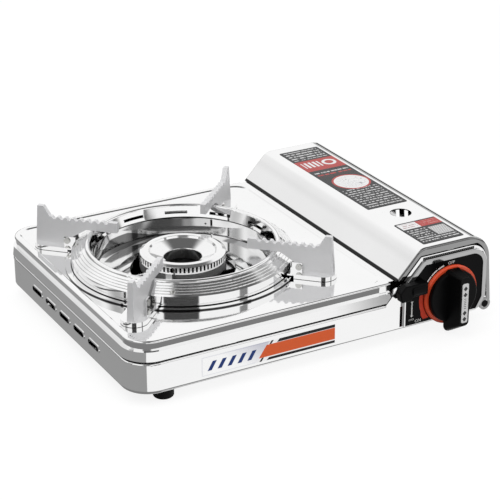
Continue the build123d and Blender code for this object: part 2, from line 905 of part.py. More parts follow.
def make_burner_cap():
    """Slotted flame ring with a dished top round its throat."""
    inner = cap_radius - cap_wall
    points = [
        (throat_radius, throat_bottom),
        (throat_radius, throat_edge),
        (dish_radius, dish_edge),
        (dish_radius + cap_step, cap_top),
        (cap_radius - cap_crown, cap_top),
        (cap_radius, cap_top - cap_bevel),
        (cap_radius, cap_bottom),
        (inner, cap_bottom),
        (inner, slot_top - cap_sheet),
        (dish_radius, dish_edge - cap_sheet),
        (throat_radius + cap_sheet, throat_edge - cap_sheet),
        (throat_radius + cap_sheet, throat_bottom),
    ]
    soft = [0, cap_soft, cap_soft / 2, cap_soft / 2, cap_soft, cap_soft]
    cap = turned(points, soft + [0] * (len(points) - len(soft)))
    height = slot_top - slot_bottom
    slot = Pos(cap_radius, 0, slot_bottom + height / 2) * Box(2 * cap_wall + cap_soft, slot_width, height)
    return cap - [round_burner(n * 360 / slot_count) * slot for n in range(slot_count)]


def make_burner_bowl():
    """Cast bowl under the flame ring, with the mixing chamber below it."""
    wall = chamber_wall
    points = [
        (0, chamber_bottom),
        (chamber_radius, chamber_bottom),
        (chamber_radius, bowl_bottom),
        (cap_radius, bowl_side),
        (cap_radius, cap_bottom),
        (cap_radius - wall, cap_bottom),
        (cap_radius - wall, bowl_side + wall / 2),
        (chamber_radius - wall, bowl_bottom + wall),
        (chamber_radius - wall, chamber_bottom + wall),
        (0, chamber_bottom + wall),
    ]
    bowl = turned(points, [0, 0, bowl_round, bowl_round, 0, 0, bowl_round, bowl_round, 0, 0])
    start = round_mixer(chamber_radius / 2)
    return bowl - rod(start, round_mixer(2 * chamber_radius), mixer_radius + running)


def make_burner_stand():
    """Three-legged bracket between case floor and burner."""
    under = chamber_bottom - stand_sheet
    half = stand_leg_width / 2
    near = stand_leg_radius - stand_leg_half
    far = stand_leg_radius + stand_leg_half
    stand = Pos(burner_x, burner_y, under + stand_sheet / 2) * Cylinder(chamber_radius, stand_sheet)
    for angle in stand_angles:
        arm = block(chamber_radius / 2, far, -half, half, under, chamber_bottom)
        leg = block(near, far, -half, half, floor_inside, under)
        stand += round_burner(angle) * (arm + leg)
    for x, y in stand_screws():
        stand -= Pos(x, y, floor_inside) * Cylinder(screw_radius + running, 2 * screw_length)
    return stand


def make_electrode():
    """Ceramic rod of the spark electrode, with its bent wire."""
    rod_top = (electrode_reach, 0, electrode_top)
    ceramic = rod((electrode_reach, 0, electrode_bottom), rod_top, electrode_radius)
    wire = rod(rod_top, (electrode_reach, 0, electrode_top + wire_length), wire_radius)
    return round_burner(electrode_angle) * (ceramic + wire)


def make_electrode_hood():
    """Sheet hood round the electrode, on an arm from the burner's chamber."""
    back = electrode_reach + hood_depth / 2
    front = electrode_reach - hood_depth / 2
    half = hood_width / 2
    inside = half - hood_sheet
    arm_half = hood_arm_width / 2
    under = hood_arm - hood_arm_sheet
    hood = block(front, back, -half, half, hood_arm, hood_top)
    hood -= block(front - 1, back - hood_sheet, -inside, inside, under, hood_top - hood_sheet)
    arm = block(chamber_radius / 2, back + hood_sheet, -arm_half, arm_half, under, hood_arm)
    place = Pos(electrode_reach, 0, under)
    arm -= place * Cylinder(electrode_radius + running, 4 * hood_arm_sheet)
    bowl = Pos(burner_x, burner_y, hood_arm) * Cylinder(chamber_radius, hood_arm_width)
    return round_burner(electrode_angle) * (hood + arm) - bowl


def lead_route():
    """Points of the ignition lead, from the electrode's foot to the piezo's side."""
    foot = round_burner(electrode_angle) * Pos(electrode_reach, 0, 0)
    x = foot.position.X
    y = foot.position.Y
    end = piezo_x - piezo_half
    return [
        (x, y, electrode_bottom),
        (x, y, lead_knee),
        (x + lead_corner[0], y + lead_corner[1], lead_level),
        (x + lead_run, lead_front, lead_level),
        (partition_x - lead_pass[0], *lead_pass[1:]),
        (end - lead_end, lead_end_y, -piezo_drop),
        (end, lead_end_y, -piezo_drop),
    ]


def make_ignition_lead():
    """Insulated lead between piezo and electrode."""
    return bent_rod(lead_route(), lead_radius, lead_bend)


# ---------------------------------------------------------------- trivet
def make_trivet_ring():
    """Pressed ring: hemmed foot, upright wall, ribbed shoulder, rolled bead and slotted inner wall."""
    wall = ring_wall_radius
    sheet = ring_sheet
    inner = bead_radius - bead_tube
    step = trivet_foot + sheet
    hem = step + ring_hem
    shoulder = Vector(bead_radius + bead_tube, bead_height)
    skin = [
        (wall - sheet, trivet_foot),
        (ring_foot_radius, trivet_foot),
        (ring_foot_radius, hem),
        (ring_foot_radius - sheet, hem),
        (ring_foot_radius - sheet, step),
        (wall, step),
        (wall, ring_shoulder),
        (shoulder.X, shoulder.Y),
        (bead_radius, bead_height + sheet),
        (inner, bead_height + sheet / 2),
        (inner - ring_inner_lean, ring_inner_bottom),
        (inner - ring_inner_lean + sheet, ring_inner_bottom),
        (inner + sheet, bead_height),
        (shoulder.X - sheet / 2, shoulder.Y - sheet),
        (wall - sheet, ring_shoulder - sheet / 2),
    ]
    ring = turned(skin) + Pos(burner_x, burner_y, bead_height) * Torus(bead_radius, bead_tube)
    slope = Vector(wall, ring_shoulder) - shoulder
    for n in range(ring_rib_count):
        at = shoulder + slope * ((n + 1) / (ring_rib_count + 1))
        ring += Pos(burner_x, burner_y, at.Y) * Torus(at.X, ring_rib)
    return ring - ring_slots()


def ring_slots():
    """Curved slots in the ring's inner wall."""
    near = bead_radius - bead_tube - ring_inner_lean
    far = bead_radius
    low = ring_slot_middle - ring_slot_height / 2
    high = ring_slot_middle + ring_slot_height / 2
    section = outline([(near, low), (far, low), (far, high), (near, high)])
    slot = revolve(Plane.XZ * section, Axis.Z, ring_slot_span)
    return [round_burner(n * 360 / ring_slot_count) * slot for n in range(ring_slot_count)]


def blade_profile():
    """Side view of a pot blade, in distance from the burner's axis and height."""
    pitch = (tooth_end - tooth_start) / tooth_count
    teeth = []
    for n in range(tooth_count):
        start = tooth_end - n * pitch
        end = start - pitch * (1 - tooth_share)
        teeth += [(start, teeth_top), (start - tooth_lean, teeth_top - tooth_depth)]
        teeth += [(end + tooth_lean, teeth_top - tooth_depth), (end, teeth_top)]
    shoulder = blade_reach - blade_lean - horn_width
    head = [
        (blade_reach, tongue_top),
        (blade_reach - blade_lean, blade_top),
        (shoulder, blade_top),
        (shoulder - horn_run, teeth_top),
    ]
    tail = [
        (blade_inner, teeth_top),
        (blade_inner, bead_top + snug),
        (blade_bend, bead_top + snug),
        (blade_step, blade_step_top),
        (blade_step, tongue_top),
    ]
    return outline(head + teeth + tail)


def make_blade(angle):
    """Toothed pot blade, thicker at its foot."""
    wide = blade_thick_foot / 2
    narrow = blade_thick_top / 2
    blade = across(blade_profile(), -wide, wide)
    draft = outline([(-wide, tongue_top), (wide, tongue_top), (narrow, blade_top), (-narrow, blade_top)])
    blade &= along(draft, 0, blade_reach + 1)
    return round_burner(angle) * (blade - rivet_hole(wide + 1))


def rivet_hole(half):
    """Clearance hole of a rivet, in the blade's own direction."""
    start = (rivet_reach, -half, rivet_height)
    return rod(start, (rivet_reach, half, rivet_height), rivet_radius + running)


def tongue_plan(grow, start):
    """Plan of a tongue with its rounded tip, grown on its free sides."""
    end = tongue_reach - tongue_half
    half = tongue_half + grow
    return rectangle(start, end, -half, half) + Pos(end, 0) * Circle(half)


def make_tongue(angle):
    """Inverted dish under a blade's foot, with two lugs riveted to the blade."""
    under = tongue_top - tongue_sheet
    edge = ring_foot_radius + tongue_gap
    slab = Pos(0, 0, under) * extrude(tongue_plan(0, ring_wall_radius + snug), tongue_sheet)
    rim = Pos(0, 0, trivet_foot) * extrude(tongue_plan(0, edge), under - trivet_foot)
    rim -= Pos(0, 0, trivet_foot) * extrude(tongue_plan(-tongue_rim, edge - tongue_rim), tongue_top)
    tongue = slab + rim
    near = blade_thick_foot / 2 + snug
    far = near + lug_sheet
    for low, high in ((-far, -near), (near, far)):
        tongue += block(lug_start, lug_start + lug_length, low, high, tongue_top, lug_top)
    return round_burner(angle) * (tongue - rivet_hole(far + 1))


def make_rivet(angle):
    """Rivet through a blade and the two lugs of its tongue."""
    half = blade_thick_foot / 2 + snug + lug_sheet
    rivet = rod((rivet_reach, -half, rivet_height), (rivet_reach, half, rivet_height), rivet_radius)
    for side in (-1, 1):
        start = (rivet_reach, side * half, rivet_height)
        end = (rivet_reach, side * (half + rivet_head_height), rivet_height)
        rivet += rod(start, end, rivet_head)
    return round_burner(angle) * rivet


# ---------------------------------------------------------------- gas train
def make_mixing_tube():
    """Tube with a bell mouth that mixes gas and air."""
    start = round_mixer(chamber_radius - chamber_wall)
    direction = Vector(round_mixer(1)) - Vector(round_mixer(0))
    bore = mixer_radius - mixer_sheet
    pipe = rod(start, round_mixer(mixer_end), mixer_radius) - rod(start, round_mixer(mixer_end), bore)
    faces = []
    for reach, radius in ((mixer_end, mixer_radius), (mixer_end + bell_length, bell_radius)):
        plane = Plane(origin=round_mixer(reach), z_dir=direction)
        faces.append(((plane * Circle(radius)).face(), (plane * Circle(radius - mixer_sheet)).face()))
    return pipe + (loft([f[0] for f in faces]) - loft([f[1] for f in faces]))


def make_air_shutter():
    """Sleeve with two windows round the mixing tube."""
    end = shutter_start + shutter_length
    bore = mixer_radius + running
    sleeve = rod(round_mixer(shutter_start), round_mixer(end), bore + shutter_sheet)
    sleeve -= rod(round_mixer(shutter_start), round_mixer(end), bore)
    x, y, z = round_mixer(shutter_start + shutter_length / 2)
    return sleeve - Pos(x, y, z) * Cylinder(shutter_window / 2, 4 * mixer_radius)


def pipe_route():
    """Points of the gas pipe, from the regulator to the jet."""
    right, left = [partition_x + reach for reach in pipe_turn]
    back, down = pipe_slant
    return [
        (regulator_left, pipe_y, -pipe_drop),
        (right, pipe_y, -pipe_drop),
        (left, pipe_y + back, -pipe_drop - down),
        round_mixer(jet_tip + pipe_approach),
        round_mixer(jet_tip + jet_length - jet_socket),
    ]


def make_jet():
    """Brass jet that sprays gas into the bell mouth."""
    back = jet_tip + jet_length
    jet = rod(round_mixer(jet_tip), round_mixer(back), jet_radius)
    jet -= rod(round_mixer(back - jet_socket), round_mixer(back + 1), pipe_radius + running)
    return jet - rod(round_mixer(jet_tip - 1), round_mixer(back), jet_bore)


def make_jet_bracket():
    """Sheet bracket that holds the jet above the case floor."""
    half = jet_bracket_width / 2
    top = jet_radius + jet_bracket_top - mixer_drop
    plate = block(0, bracket_sheet, -half, half, floor_inside, top)
    foot = block(0, jet_bracket_foot, -half, half, floor_inside, floor_inside + bracket_sheet)
    bracket = round_burner(mixer_angle) * Pos(jet_bracket_reach, 0, 0) * (plate + foot)
    start = round_mixer(jet_bracket_reach - bracket_sheet)
    return bracket - rod(start, round_mixer(jet_bracket_reach + 2 * bracket_sheet), jet_radius + running)


def make_heat_strip():
    """Aluminium strip that carries a little heat from the burner to the compartment's wall."""
    start = heat_strip_start
    ends = (burner_y - heat_strip_width / 2, burner_y + heat_strip_width / 2)
    under = heat_strip_top - heat_strip_sheet
    level = block(start, partition_x, *ends, under, heat_strip_top)
    return level + block(start, start + heat_strip_sheet, *ends, under, heat_strip_top + heat_strip_rise)


def make_regulator():
    """Die-cast regulator body with the valve bore."""
    body = block(
        regulator_left, regulator_right, regulator_front, regulator_back, regulator_bottom, regulator_top
    )
    body = fillet(body.edges().filter_by(Axis.Y), regulator_round)
    body -= rod((knob_x, 0, -knob_drop), (knob_x, stem_back + play, -knob_drop), stem_radius + running)
    seat = (socket_x, regulator_back, -socket_drop)
    body -= rod((socket_x, regulator_back - seal_height, -socket_drop), seat, seal_radius + running)
    return body - rod((socket_x, regulator_back - gas_hole_depth, -socket_drop), seat, gas_hole)


def make_valve_seal():
    """Rubber ring round the cartridge's valve stem, in the regulator's back."""
    start = (socket_x, regulator_back - seal_height, -socket_drop)
    end = (socket_x, regulator_back, -socket_drop)
    return rod(start, end, seal_radius) - rod(start, end, valve_hole)


def make_diaphragm_cover():
    """Round cover of the regulator's diaphragm."""
    y = (regulator_front + regulator_back) / 2
    z = (regulator_bottom + regulator_top) / 2
    step = regulator_right + diaphragm_depth / 2
    end = regulator_right + diaphragm_depth
    cover = rod((regulator_right, y, z), (step, y, z), diaphragm_radius)
    return cover + rod((step, y, z), (end, y, z), diaphragm_crown)


def make_socket():
    """Ring that takes the cartridge's collar, with its key and the hole for the valve stem."""
    start = (socket_x, regulator_back, -socket_drop)
    end = (socket_x, regulator_back + socket_depth, -socket_drop)
    ring = rod(start, end, socket_radius) - rod(start, end, socket_bore)
    inside = (socket_x, regulator_back + socket_floor, -socket_drop)
    floor = rod(start, inside, socket_bore) - rod(start, inside, valve_hole)
    half = socket_key / 2
    top = socket_radius - socket_drop
    ends = (regulator_back, regulator_back + socket_depth)
    key = block(socket_x - half, socket_x + half, *ends, top - 1, top + socket_key_height)
    return ring + floor + key


def make_regulator_bracket():
    """Bridge between case floor and regulator."""
    ends = (regulator_front + regulator_round, regulator_back - regulator_round)
    under = regulator_bottom - bracket_sheet
    bracket = block(regulator_left, regulator_right, *ends, under, regulator_bottom)
    for start in (regulator_left, regulator_right - regulator_leg):
        bracket += block(start, start + regulator_leg, *ends, floor_inside, under)
    for x, y in regulator_screws():
        bracket -= Pos(x, y, floor_inside) * Cylinder(screw_radius + running, 2 * screw_length)
    return bracket


# ---------------------------------------------------------------- panel and knob
def panel_outline(side, strip, cut):
    """Outline of the control panel, grown by a side margin, a left margin and at the cut corner."""
    left = panel_left - strip
    right = panel_right + side
    top = panel_top + side
    lift = side * math.hypot(1, panel_slope)
    left_end = panel_slope_z + (left - panel_slope_x) * panel_slope + lift
    top_end = panel_slope_x + (top - panel_slope_z - lift) / panel_slope
    points = [
        (left, panel_bottom),
        (right - panel_cut_width - cut, panel_bottom),
        (right, panel_bottom + panel_cut_height - cut),
        (right, top),
        (top_end, top),
        (left, left_end),
    ]
    shoulder = panel_shoulder + side / 2
    return outline(points, [0, panel_soft, panel_soft, panel_corner + side, shoulder, 0])


def make_control_panel():
    """Black panel behind knob and lever."""
    panel = across(panel_outline(0, 0, 0), panel_face, -case_proud)
    hole = rod((knob_x, panel_face - 1, -knob_drop), (knob_x, 0, -knob_drop), stem_radius + play)
    return panel - hole


def make_bezel():
    """Bright frame round the control panel."""
    front = -case_proud - bezel_proud
    frame = across(panel_outline(bezel_width, bezel_strip, bezel_cut), front, -case_proud)
    frame = chamfer(frame.faces().sort_by(Axis.Y)[0].edges(), bezel_chamfer)
    return frame - across(panel_outline(snug, snug, 0), front - 1, 0)


def grip_section(level, half, down, up, toe, crown):
    """Section of the grip bar at one level, with its own corner radii."""
    section = rectangle(-half, half, -down, up, [toe, toe, crown, crown])
    return (Plane.XZ.offset(-level) * section).face()


def make_knob():
    """Round knob with a tapering grip bar."""
    disc = rod((0, panel_face - play, 0), (0, knob_face, 0), knob_radius)
    disc = fillet(disc.faces().sort_by(Axis.Y)[0].edges(), knob_edge_round)
    foot_reach = (grip_down_foot, grip_up_foot)
    face_reach = (grip_down_front, grip_up_front)
    foot = grip_section(grip_back, grip_half_foot, *foot_reach, grip_foot_round, grip_round)
    face = grip_section(grip_face, grip_half_front, *face_reach, grip_round, grip_toe_round)
    knob = disc + loft([foot, face]) - rod((0, stem_front, 0), (0, 1, 0), stem_radius + running)
    return Pos(knob_x, 0, -knob_drop) * knob


def make_dial_ring():
    """Coloured ring round the knob's foot."""
    back = panel_face - play
    front = back - dial_depth
    ring = rod((0, back, 0), (0, front, 0), dial_radius)
    ring = chamfer(ring.faces().sort_by(Axis.Y)[0].edges(), dial_chamfer)
    ring -= rod((0, back + 1, 0), (0, front - 1, 0), knob_radius + running)
    return Pos(knob_x, 0, -knob_drop) * ring


def make_knob_insert():
    """Bare bright insert on the grip's face."""
    plan = Pos(knob_x, -knob_drop) * RectangleRounded(insert_width, insert_length, insert_round)
    return across(plan, grip_face - insert_sheet, grip_face)


def make_knob_stem():
    """Valve stem with the cam arm that fires the igniter."""
    stem = rod((0, stem_front, 0), (0, stem_back, 0), stem_radius)
    hub = rod((0, cam_front, 0), (0, cam_front + cam_sheet, 0), cam_hub)
    half = cam_arm / 2
    arm = Rot(0, -cam_angle, 0) * block(0, cam_reach, cam_front, cam_front + cam_sheet, -half, half)
    half = cam_nose_width / 2
    nose = Rot(0, -cam_angle, 0) * block(cam_nose_start, cam_reach, cam_front, cam_nose, -half, half)
    return Pos(knob_x, 0, -knob_drop) * (stem + hub + arm + nose)


def make_piezo():
    """Body of the piezo igniter."""
    middle = (piezo_front + piezo_back) / 2
    size = 2 * piezo_half
    body = Pos(piezo_x, middle, -piezo_drop) * Box(size, piezo_back - piezo_front, size)
    body = fillet(body.edges().filter_by(Axis.Y), piezo_round)
    depth = plunger_front + plunger_length + plunger_travel + play
    return body - rod((piezo_x, 0, -piezo_drop), (piezo_x, depth, -piezo_drop), plunger_radius + running)


def make_piezo_bracket():
    """Saddle under the igniter on the case floor."""
    sides = (piezo_x - piezo_half, piezo_x + piezo_half)
    ends = (piezo_front + piezo_half, piezo_back - piezo_half)
    return block(*sides, *ends, floor_inside, -piezo_drop - piezo_half)


def make_plunger():
    """Plunger that the cam pushes in."""
    end = plunger_front + plunger_length
    return rod((piezo_x, plunger_front, -piezo_drop), (piezo_x, end, -piezo_drop), plunger_radius)


# ---------------------------------------------------------------- lock lever and carriage
def make_lock_lever():
    """Black finger piece with a pointed left end."""
    points = [
        (lever_tip, lever_top - lever_tip_drop),
        (lever_foot_left, lever_bottom),
        (lever_step, lever_bottom),
        (lever_step, lever_ledge),
        (lever_right, lever_ledge),
        (lever_right, lever_top),
        (lever_left, lever_top),
    ]
    lever = across(outline(points, lever_corner), lever_face, lever_back)
    return fillet(lever.faces().sort_by(Axis.Y)[0].edges(), lever_round)


def make_lock_slide():
    """Steel slide behind the wall, with the tab that carries the finger piece."""
    back = wall_inside + play
    plate = block(slide_left, slide_right, back, back + slide_sheet, slide_bottom, slide_top)
    top = slide_top - slide_margin
    tab = block(slot_left + play, slot_right - play, lever_back, back, top - slide_tab, top)
    return plate + tab


def make_carriage():
    """Rail and push plate that draw the cartridge into its socket."""
    ends = (carriage_back, carriage_back + carriage_sheet)
    rail = block(rail_left, rail_right, carriage_front, carriage_back, rail_bottom, rail_top)
    plate = block(rail_left, push_right, *ends, rail_bottom, push_top)
    sides = (socket_x - push_neck, socket_x + push_neck)
    neck = block(*sides, *ends, push_top - push_overlap, -socket_drop)
    start, end = [(socket_x, y, -socket_drop) for y in ends]
    return rail + plate + neck + rod(start, end, push_disc)


def make_guides():
    """Keepers over the carriage's rail."""
    guides = []
    left = rail_left - play
    right = rail_right + play
    top = rail_top + play
    for y in guide_places:
        ends = (y, y + guide_length)
        keeper = block(left - guide_sheet, right + guide_sheet, *ends, floor_inside, top + guide_sheet)
        guides.append(keeper - block(left, right, y - 1, y + guide_length + 1, floor_inside - 1, top))
    return guides


def make_decal():
    """Thin decal on the case's front."""
    x0, x1, z0, z1 = decal
    return block(x0, x1, -case_proud - decal_sheet, -case_proud, z0, z1)


# ---------------------------------------------------------------- all nodes
def main():
    os.makedirs("parts", exist_ok=True)
    save("top_plate", make_top_plate())
    save("lower_case", make_lower_case())
    save("partition", make_partition())
    save("front_decal", make_decal())
    for name, (x, y) in foot_places.items():
        save(f"foot_{name}", make_foot(x, y))
    save("case_screws", *make_case_screws())

    save("lid_shell", make_lid())
    save("lid_label_large", make_label(large_label))
    save("lid_label_small", make_label(small_label))
    save("hinge_rod", make_hinge_rod())
    save("hinge_caps", *make_hinge_caps())
    save("hinge_brackets", *make_hinge_brackets())
    save("lid_catches", *make_lid_catches())

    save("wind_shield", make_wind_shield())
    save("burner_pan", make_burner_pan())
    save("burner_cap", make_burner_cap())
    save("burner_bowl", make_burner_bowl())
    save("burner_stand", make_burner_stand())
    save("electrode", make_electrode())
    save("electrode_hood", make_electrode_hood())
    save("ignition_lead", make_ignition_lead())

    save("trivet_ring", make_trivet_ring())
    for name, angle in zip(blade_names, blade_angles):
        save(f"blade_{name}", make_blade(angle))
        save(f"tongue_{name}", make_tongue(angle))
    save("trivet_rivets", *[make_rivet(angle) for angle in blade_angles])

    save("mixing_tube", make_mixing_tube())
    save("air_shutter", make_air_shutter())
    save("gas_pipe", bent_rod(pipe_route(), pipe_radius, pipe_bend))
    save("jet", make_jet())
    save("jet_bracket", make_jet_bracket())
    save("heat_strip", make_heat_strip())
    save("regulator_body", make_regulator())
    save("diaphragm_cover", make_diaphragm_cover())
    save("cartridge_socket", make_socket())
    save("valve_seal", make_valve_seal())
    save("regulator_bracket", make_regulator_bracket())

    save("control_panel", make_control_panel())
    save("panel_bezel", make_bezel())
    save("gas_knob", make_knob())
    save("dial_ring", make_dial_ring())
    save("knob_insert", make_knob_insert())
    save("knob_stem", make_knob_stem())
    save("piezo_igniter", make_piezo())
    save("piezo_bracket", make_piezo_bracket())
    save("piezo_plunger", make_plunger())

    save("lock_lever", make_lock_lever())
    save("lock_slide", make_lock_slide())
    save("cartridge_carriage", make_carriage())
    save("carriage_guides", *make_guides())


main()
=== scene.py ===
import json
import math

import bmesh
import bpy
from mathutils import Matrix, Vector


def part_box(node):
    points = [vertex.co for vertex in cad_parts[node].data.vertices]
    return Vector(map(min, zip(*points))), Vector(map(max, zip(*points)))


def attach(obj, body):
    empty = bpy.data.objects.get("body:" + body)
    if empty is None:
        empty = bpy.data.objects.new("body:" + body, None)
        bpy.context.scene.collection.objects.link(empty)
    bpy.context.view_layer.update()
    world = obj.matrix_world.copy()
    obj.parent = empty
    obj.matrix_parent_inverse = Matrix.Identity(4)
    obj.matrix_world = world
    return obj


# Butane cassette stove: finishes, printed marks, floor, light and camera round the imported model.
# The frame is in metres. Places on the stove are given in millimetres from the upper front left
# corner of its plate, and place() turns them into the frame.

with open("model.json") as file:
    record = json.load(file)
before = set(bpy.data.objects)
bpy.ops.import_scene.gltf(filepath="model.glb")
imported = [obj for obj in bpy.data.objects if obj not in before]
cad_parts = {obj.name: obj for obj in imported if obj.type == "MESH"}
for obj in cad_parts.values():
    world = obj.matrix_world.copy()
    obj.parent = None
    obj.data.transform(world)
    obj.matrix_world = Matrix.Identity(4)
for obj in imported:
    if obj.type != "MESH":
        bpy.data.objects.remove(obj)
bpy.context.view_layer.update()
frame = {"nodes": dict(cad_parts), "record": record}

MM = 0.001
SKIRT_PROUD = 2.3 * MM       # skirt beyond the plate's corner
plate_low, plate_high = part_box("top_plate")
CORNER = Vector((plate_low.x + SKIRT_PROUD, plate_low.y + SKIRT_PROUD, plate_high.z))

CAMERA_PLACE = Vector((-0.679836, -1.238567, 0.681490))
CAMERA_AIM = Vector((-0.019754, -0.036150, 0.074460))
CAMERA_ROLL = -0.303         # degrees
CAMERA_LENS = 128.378
CAMERA_SENSOR = 36.0
LAMP_AIM = Vector((0, 0, 0.05))

# Places on the stove that the printed marks and the tones of the sheet go by.
BURNER = (107.5, 128.0)      # axis of burner and trivet
KNOB = (294.0, -21.7)        # axis of the knob, in x and z
LID_LEFT = 241.5
PANEL_FACE = -2.6
PRINT = 0.05                 # thickness of ink

WHITE = (1.0, 1.0, 1.0)
INK = (0.82, 0.82, 0.8)
INK_ORANGE = (0.62, 0.05, 0.02)
INK_GOLD = (0.75, 0.55, 0.25)
BLACK = (0.012, 0.012, 0.013)
PLASTIC_BLACK = (0.002, 0.002, 0.0022)
LABEL_GREY = (0.03, 0.03, 0.032)
LABEL_RED = (0.47, 0.055, 0.05)
LABEL_WHITE = (0.86, 0.86, 0.86)
SMALL_PRINT = (0.7, 0.7, 0.7)
DISC_LINES = (0.4, 0.4, 0.42)
HATCHING = (0.75, 0.75, 0.75)
PRINT_ON_WHITE = (0.45, 0.3, 0.3)
PRINT_ON_RED = (0.6, 0.25, 0.23)
DECAL_CLEAR = (0.97, 0.97, 0.97)
DECAL_ORANGE = (0.95, 0.1495, 0.0368)
DECAL_BLUE = (0.015, 0.05, 0.24)
DECAL_GREY = (0.6, 0.6, 0.66)
INSERT_BARS = (0.2, 0.2, 0.2)


def place(x, y, z):
    """A point of the stove, from millimetres off the plate's corner to the frame."""
    return CORNER + Vector((x, y, z)) * MM


# ---------------------------------------------------------------- shader nodes
def add(tree, kind, links=None, **settings):
    """A node with its settings, and with values or sockets put into its inputs."""
    node = tree.nodes.new(kind)
    for name, value in settings.items():
        setattr(node, name, value)
    for key, value in (links or {}).items():
        if isinstance(value, bpy.types.NodeSocket):
            tree.links.new(value, node.inputs[key])
        else:
            node.inputs[key].default_value = value
    return node


def calc(tree, operation, *values):
    """The result of one math node."""
    return add(tree, "ShaderNodeMath", dict(enumerate(values)), operation=operation).outputs[0]


def times(tree, *values):
    """Product of several masks."""
    result = values[0]
    for value in values[1:]:
        result = calc(tree, "MULTIPLY", result, value)
    return result


def most(tree, *masks):
    """The strongest of several masks."""
    result = masks[0]
    for mask in masks[1:]:
        result = calc(tree, "MAXIMUM", result, mask)
    return result


def ramp(tree, fac, *stops):
    """Ramp through (place, grey) stops."""
    node = add(tree, "ShaderNodeValToRGB", {0: fac})
    while len(node.color_ramp.elements) < len(stops):
        node.color_ramp.elements.new(1.0)
    for element, (where, grey) in zip(node.color_ramp.elements, stops):
        element.position = where
        element.color = (grey, grey, grey, 1.0)
    return node.outputs[0]


def noise(tree, coords, scale, detail=2.0, stretch=None):
    """Noise at a scale in features for each metre, drawn out along an axis if asked."""
    if stretch:
        coords = add(tree, "ShaderNodeMapping", {"Vector": coords, "Scale": stretch}).outputs[0]
    return add(tree, "ShaderNodeTexNoise", {"Vector": coords, "Scale": scale, "Detail": detail}).outputs[0]


def noise_mm(tree, a, b, scale):
    """Soft noise over a plane, in features for each millimetre."""
    spot = add(tree, "ShaderNodeCombineXYZ", {0: a, 1: b}).outputs[0]
    return noise(tree, spot, scale, detail=1.0)


def mix(tree, fac, one, two, blend="MIX"):
    """Colour mixed from two."""
    node = add(tree, "ShaderNodeMix", {0: fac, 6: one, 7: two}, data_type="RGBA", blend_type=blend)
    return node.outputs[2]


def bump(tree, height, distance, strength=1.0, under=None):
    """Bump from a height, over another bump if given."""
    links = {"Height": height, "Distance": distance, "Strength": strength}
    if under:
        links["Normal"] = under
    return add(tree, "ShaderNodeBump", links).outputs[0]


def opaque(rgb):
    return (*rgb, 1.0)


def new_material(name):
    """Empty material with a Principled shader, and the object's own coordinates."""
    material = bpy.data.materials.new(name)
    material.use_nodes = True
    tree = material.node_tree
    shader = tree.nodes["Principled BSDF"]
    coords = add(tree, "ShaderNodeTexCoord").outputs["Object"]
    return material, tree, shader, coords


def on_stove(tree, coords):
    """X, y and z in millimetres from the plate's corner."""
    shift = tuple(-c / MM for c in CORNER)
    links = {0: coords, 1: (1 / MM, 1 / MM, 1 / MM), 2: shift}
    moved = add(tree, "ShaderNodeVectorMath", links, operation="MULTIPLY_ADD").outputs[0]
    split = add(tree, "ShaderNodeSeparateXYZ", {0: moved}).outputs
    return split[0], split[1], split[2]


def rise(tree, value, edge, soft=0.15):
    """Mask that goes from 0 to 1 where a value passes an edge."""
    links = {0: value, 1: edge - soft, 2: edge + soft}
    return add(tree, "ShaderNodeMapRange", links, interpolation_type="SMOOTHSTEP").outputs[0]


def fall(tree, value, edge, soft=0.15):
    """Mask that goes from 1 to 0 where a value passes an edge."""
    return calc(tree, "SUBTRACT", 1.0, rise(tree, value, edge, soft))


def within(tree, value, low, high, soft=0.15):
    """Mask of the values between two edges."""
    return times(tree, rise(tree, value, low, soft), fall(tree, value, high, soft))


def repeat(tree, value, pitch):
    """How far a value is through its pitch, from 0 to 1."""
    return calc(tree, "FRACT", calc(tree, "DIVIDE", value, pitch))


def distance(tree, a, b, centre):
    """Distance of a point from a centre, in one plane."""
    da = calc(tree, "SUBTRACT", a, centre[0])
    db = calc(tree, "SUBTRACT", b, centre[1])
    return calc(tree, "SQRT", calc(tree, "ADD", calc(tree, "POWER", da, 2.0), calc(tree, "POWER", db, 2.0)))


def bearing(tree, x, y):
    """Share of a full turn about the burner's axis, from +X anticlockwise."""
    dx = calc(tree, "SUBTRACT", x, BURNER[0])
    dy = calc(tree, "SUBTRACT", y, BURNER[1])
    return repeat(tree, calc(tree, "ARCTAN2", dy, dx), math.tau)


def by_degrees(tree, turn, stops):
    """Grey by bearing, from (degrees, tone) stops."""
    return ramp(tree, turn, *[(degrees / 360, tone) for degrees, tone in stops])


def lean(tree, fac, tone):
    """Factor that is 1 where a mask is 0, and a tone where it is 1."""
    return calc(tree, "MULTIPLY_ADD", fac, calc(tree, "SUBTRACT", tone, 1.0), 1.0)


def layers(tree, base, *coats):
    """Colours laid over each other, each with its mask."""
    colour = base
    for mask, rgb in coats:
        colour = mix(tree, mask, colour, opaque(rgb))
    return colour


# ---------------------------------------------------------------- tones of the polished sheet, mostly painted shade and painted reflections
# In millimetres: radii are about the burner's axis, heights lie in z, spans and depths in x or y.
# The shield's tables go by bearing: degrees from +X, then the tone or the share of the height.
# Painted shade on the trivet ring: where the dark line at the foot of its wall lies, and where the dark
# band under its edge begins.
RING_FOOT_SHADE_RADII = (94.0, 95.6)
RING_FOOT_SHADE_HEIGHTS = (0.2, 1.3)
RING_HEM_SHADE_RADIUS = 99.95
RING_HEM_SHADE_TOP = 0.4
# Painted reflections on the wind shield: grey by bearing over its back, and a dark band low on its left
# side.
SHIELD_BACK_REFLECTION = ((0, 1.0), (43, 1.0), (45, 0.8), (75, 0.6), (97, 0.4), (104, 1.0), (360, 1.0))
SHIELD_REACH = ((80, 0.0), (102, 0.92), (118, 0.95), (134, 0.0))
SHIELD_FOOT = -9.5
SHIELD_FOOT_HEIGHT = 10.0
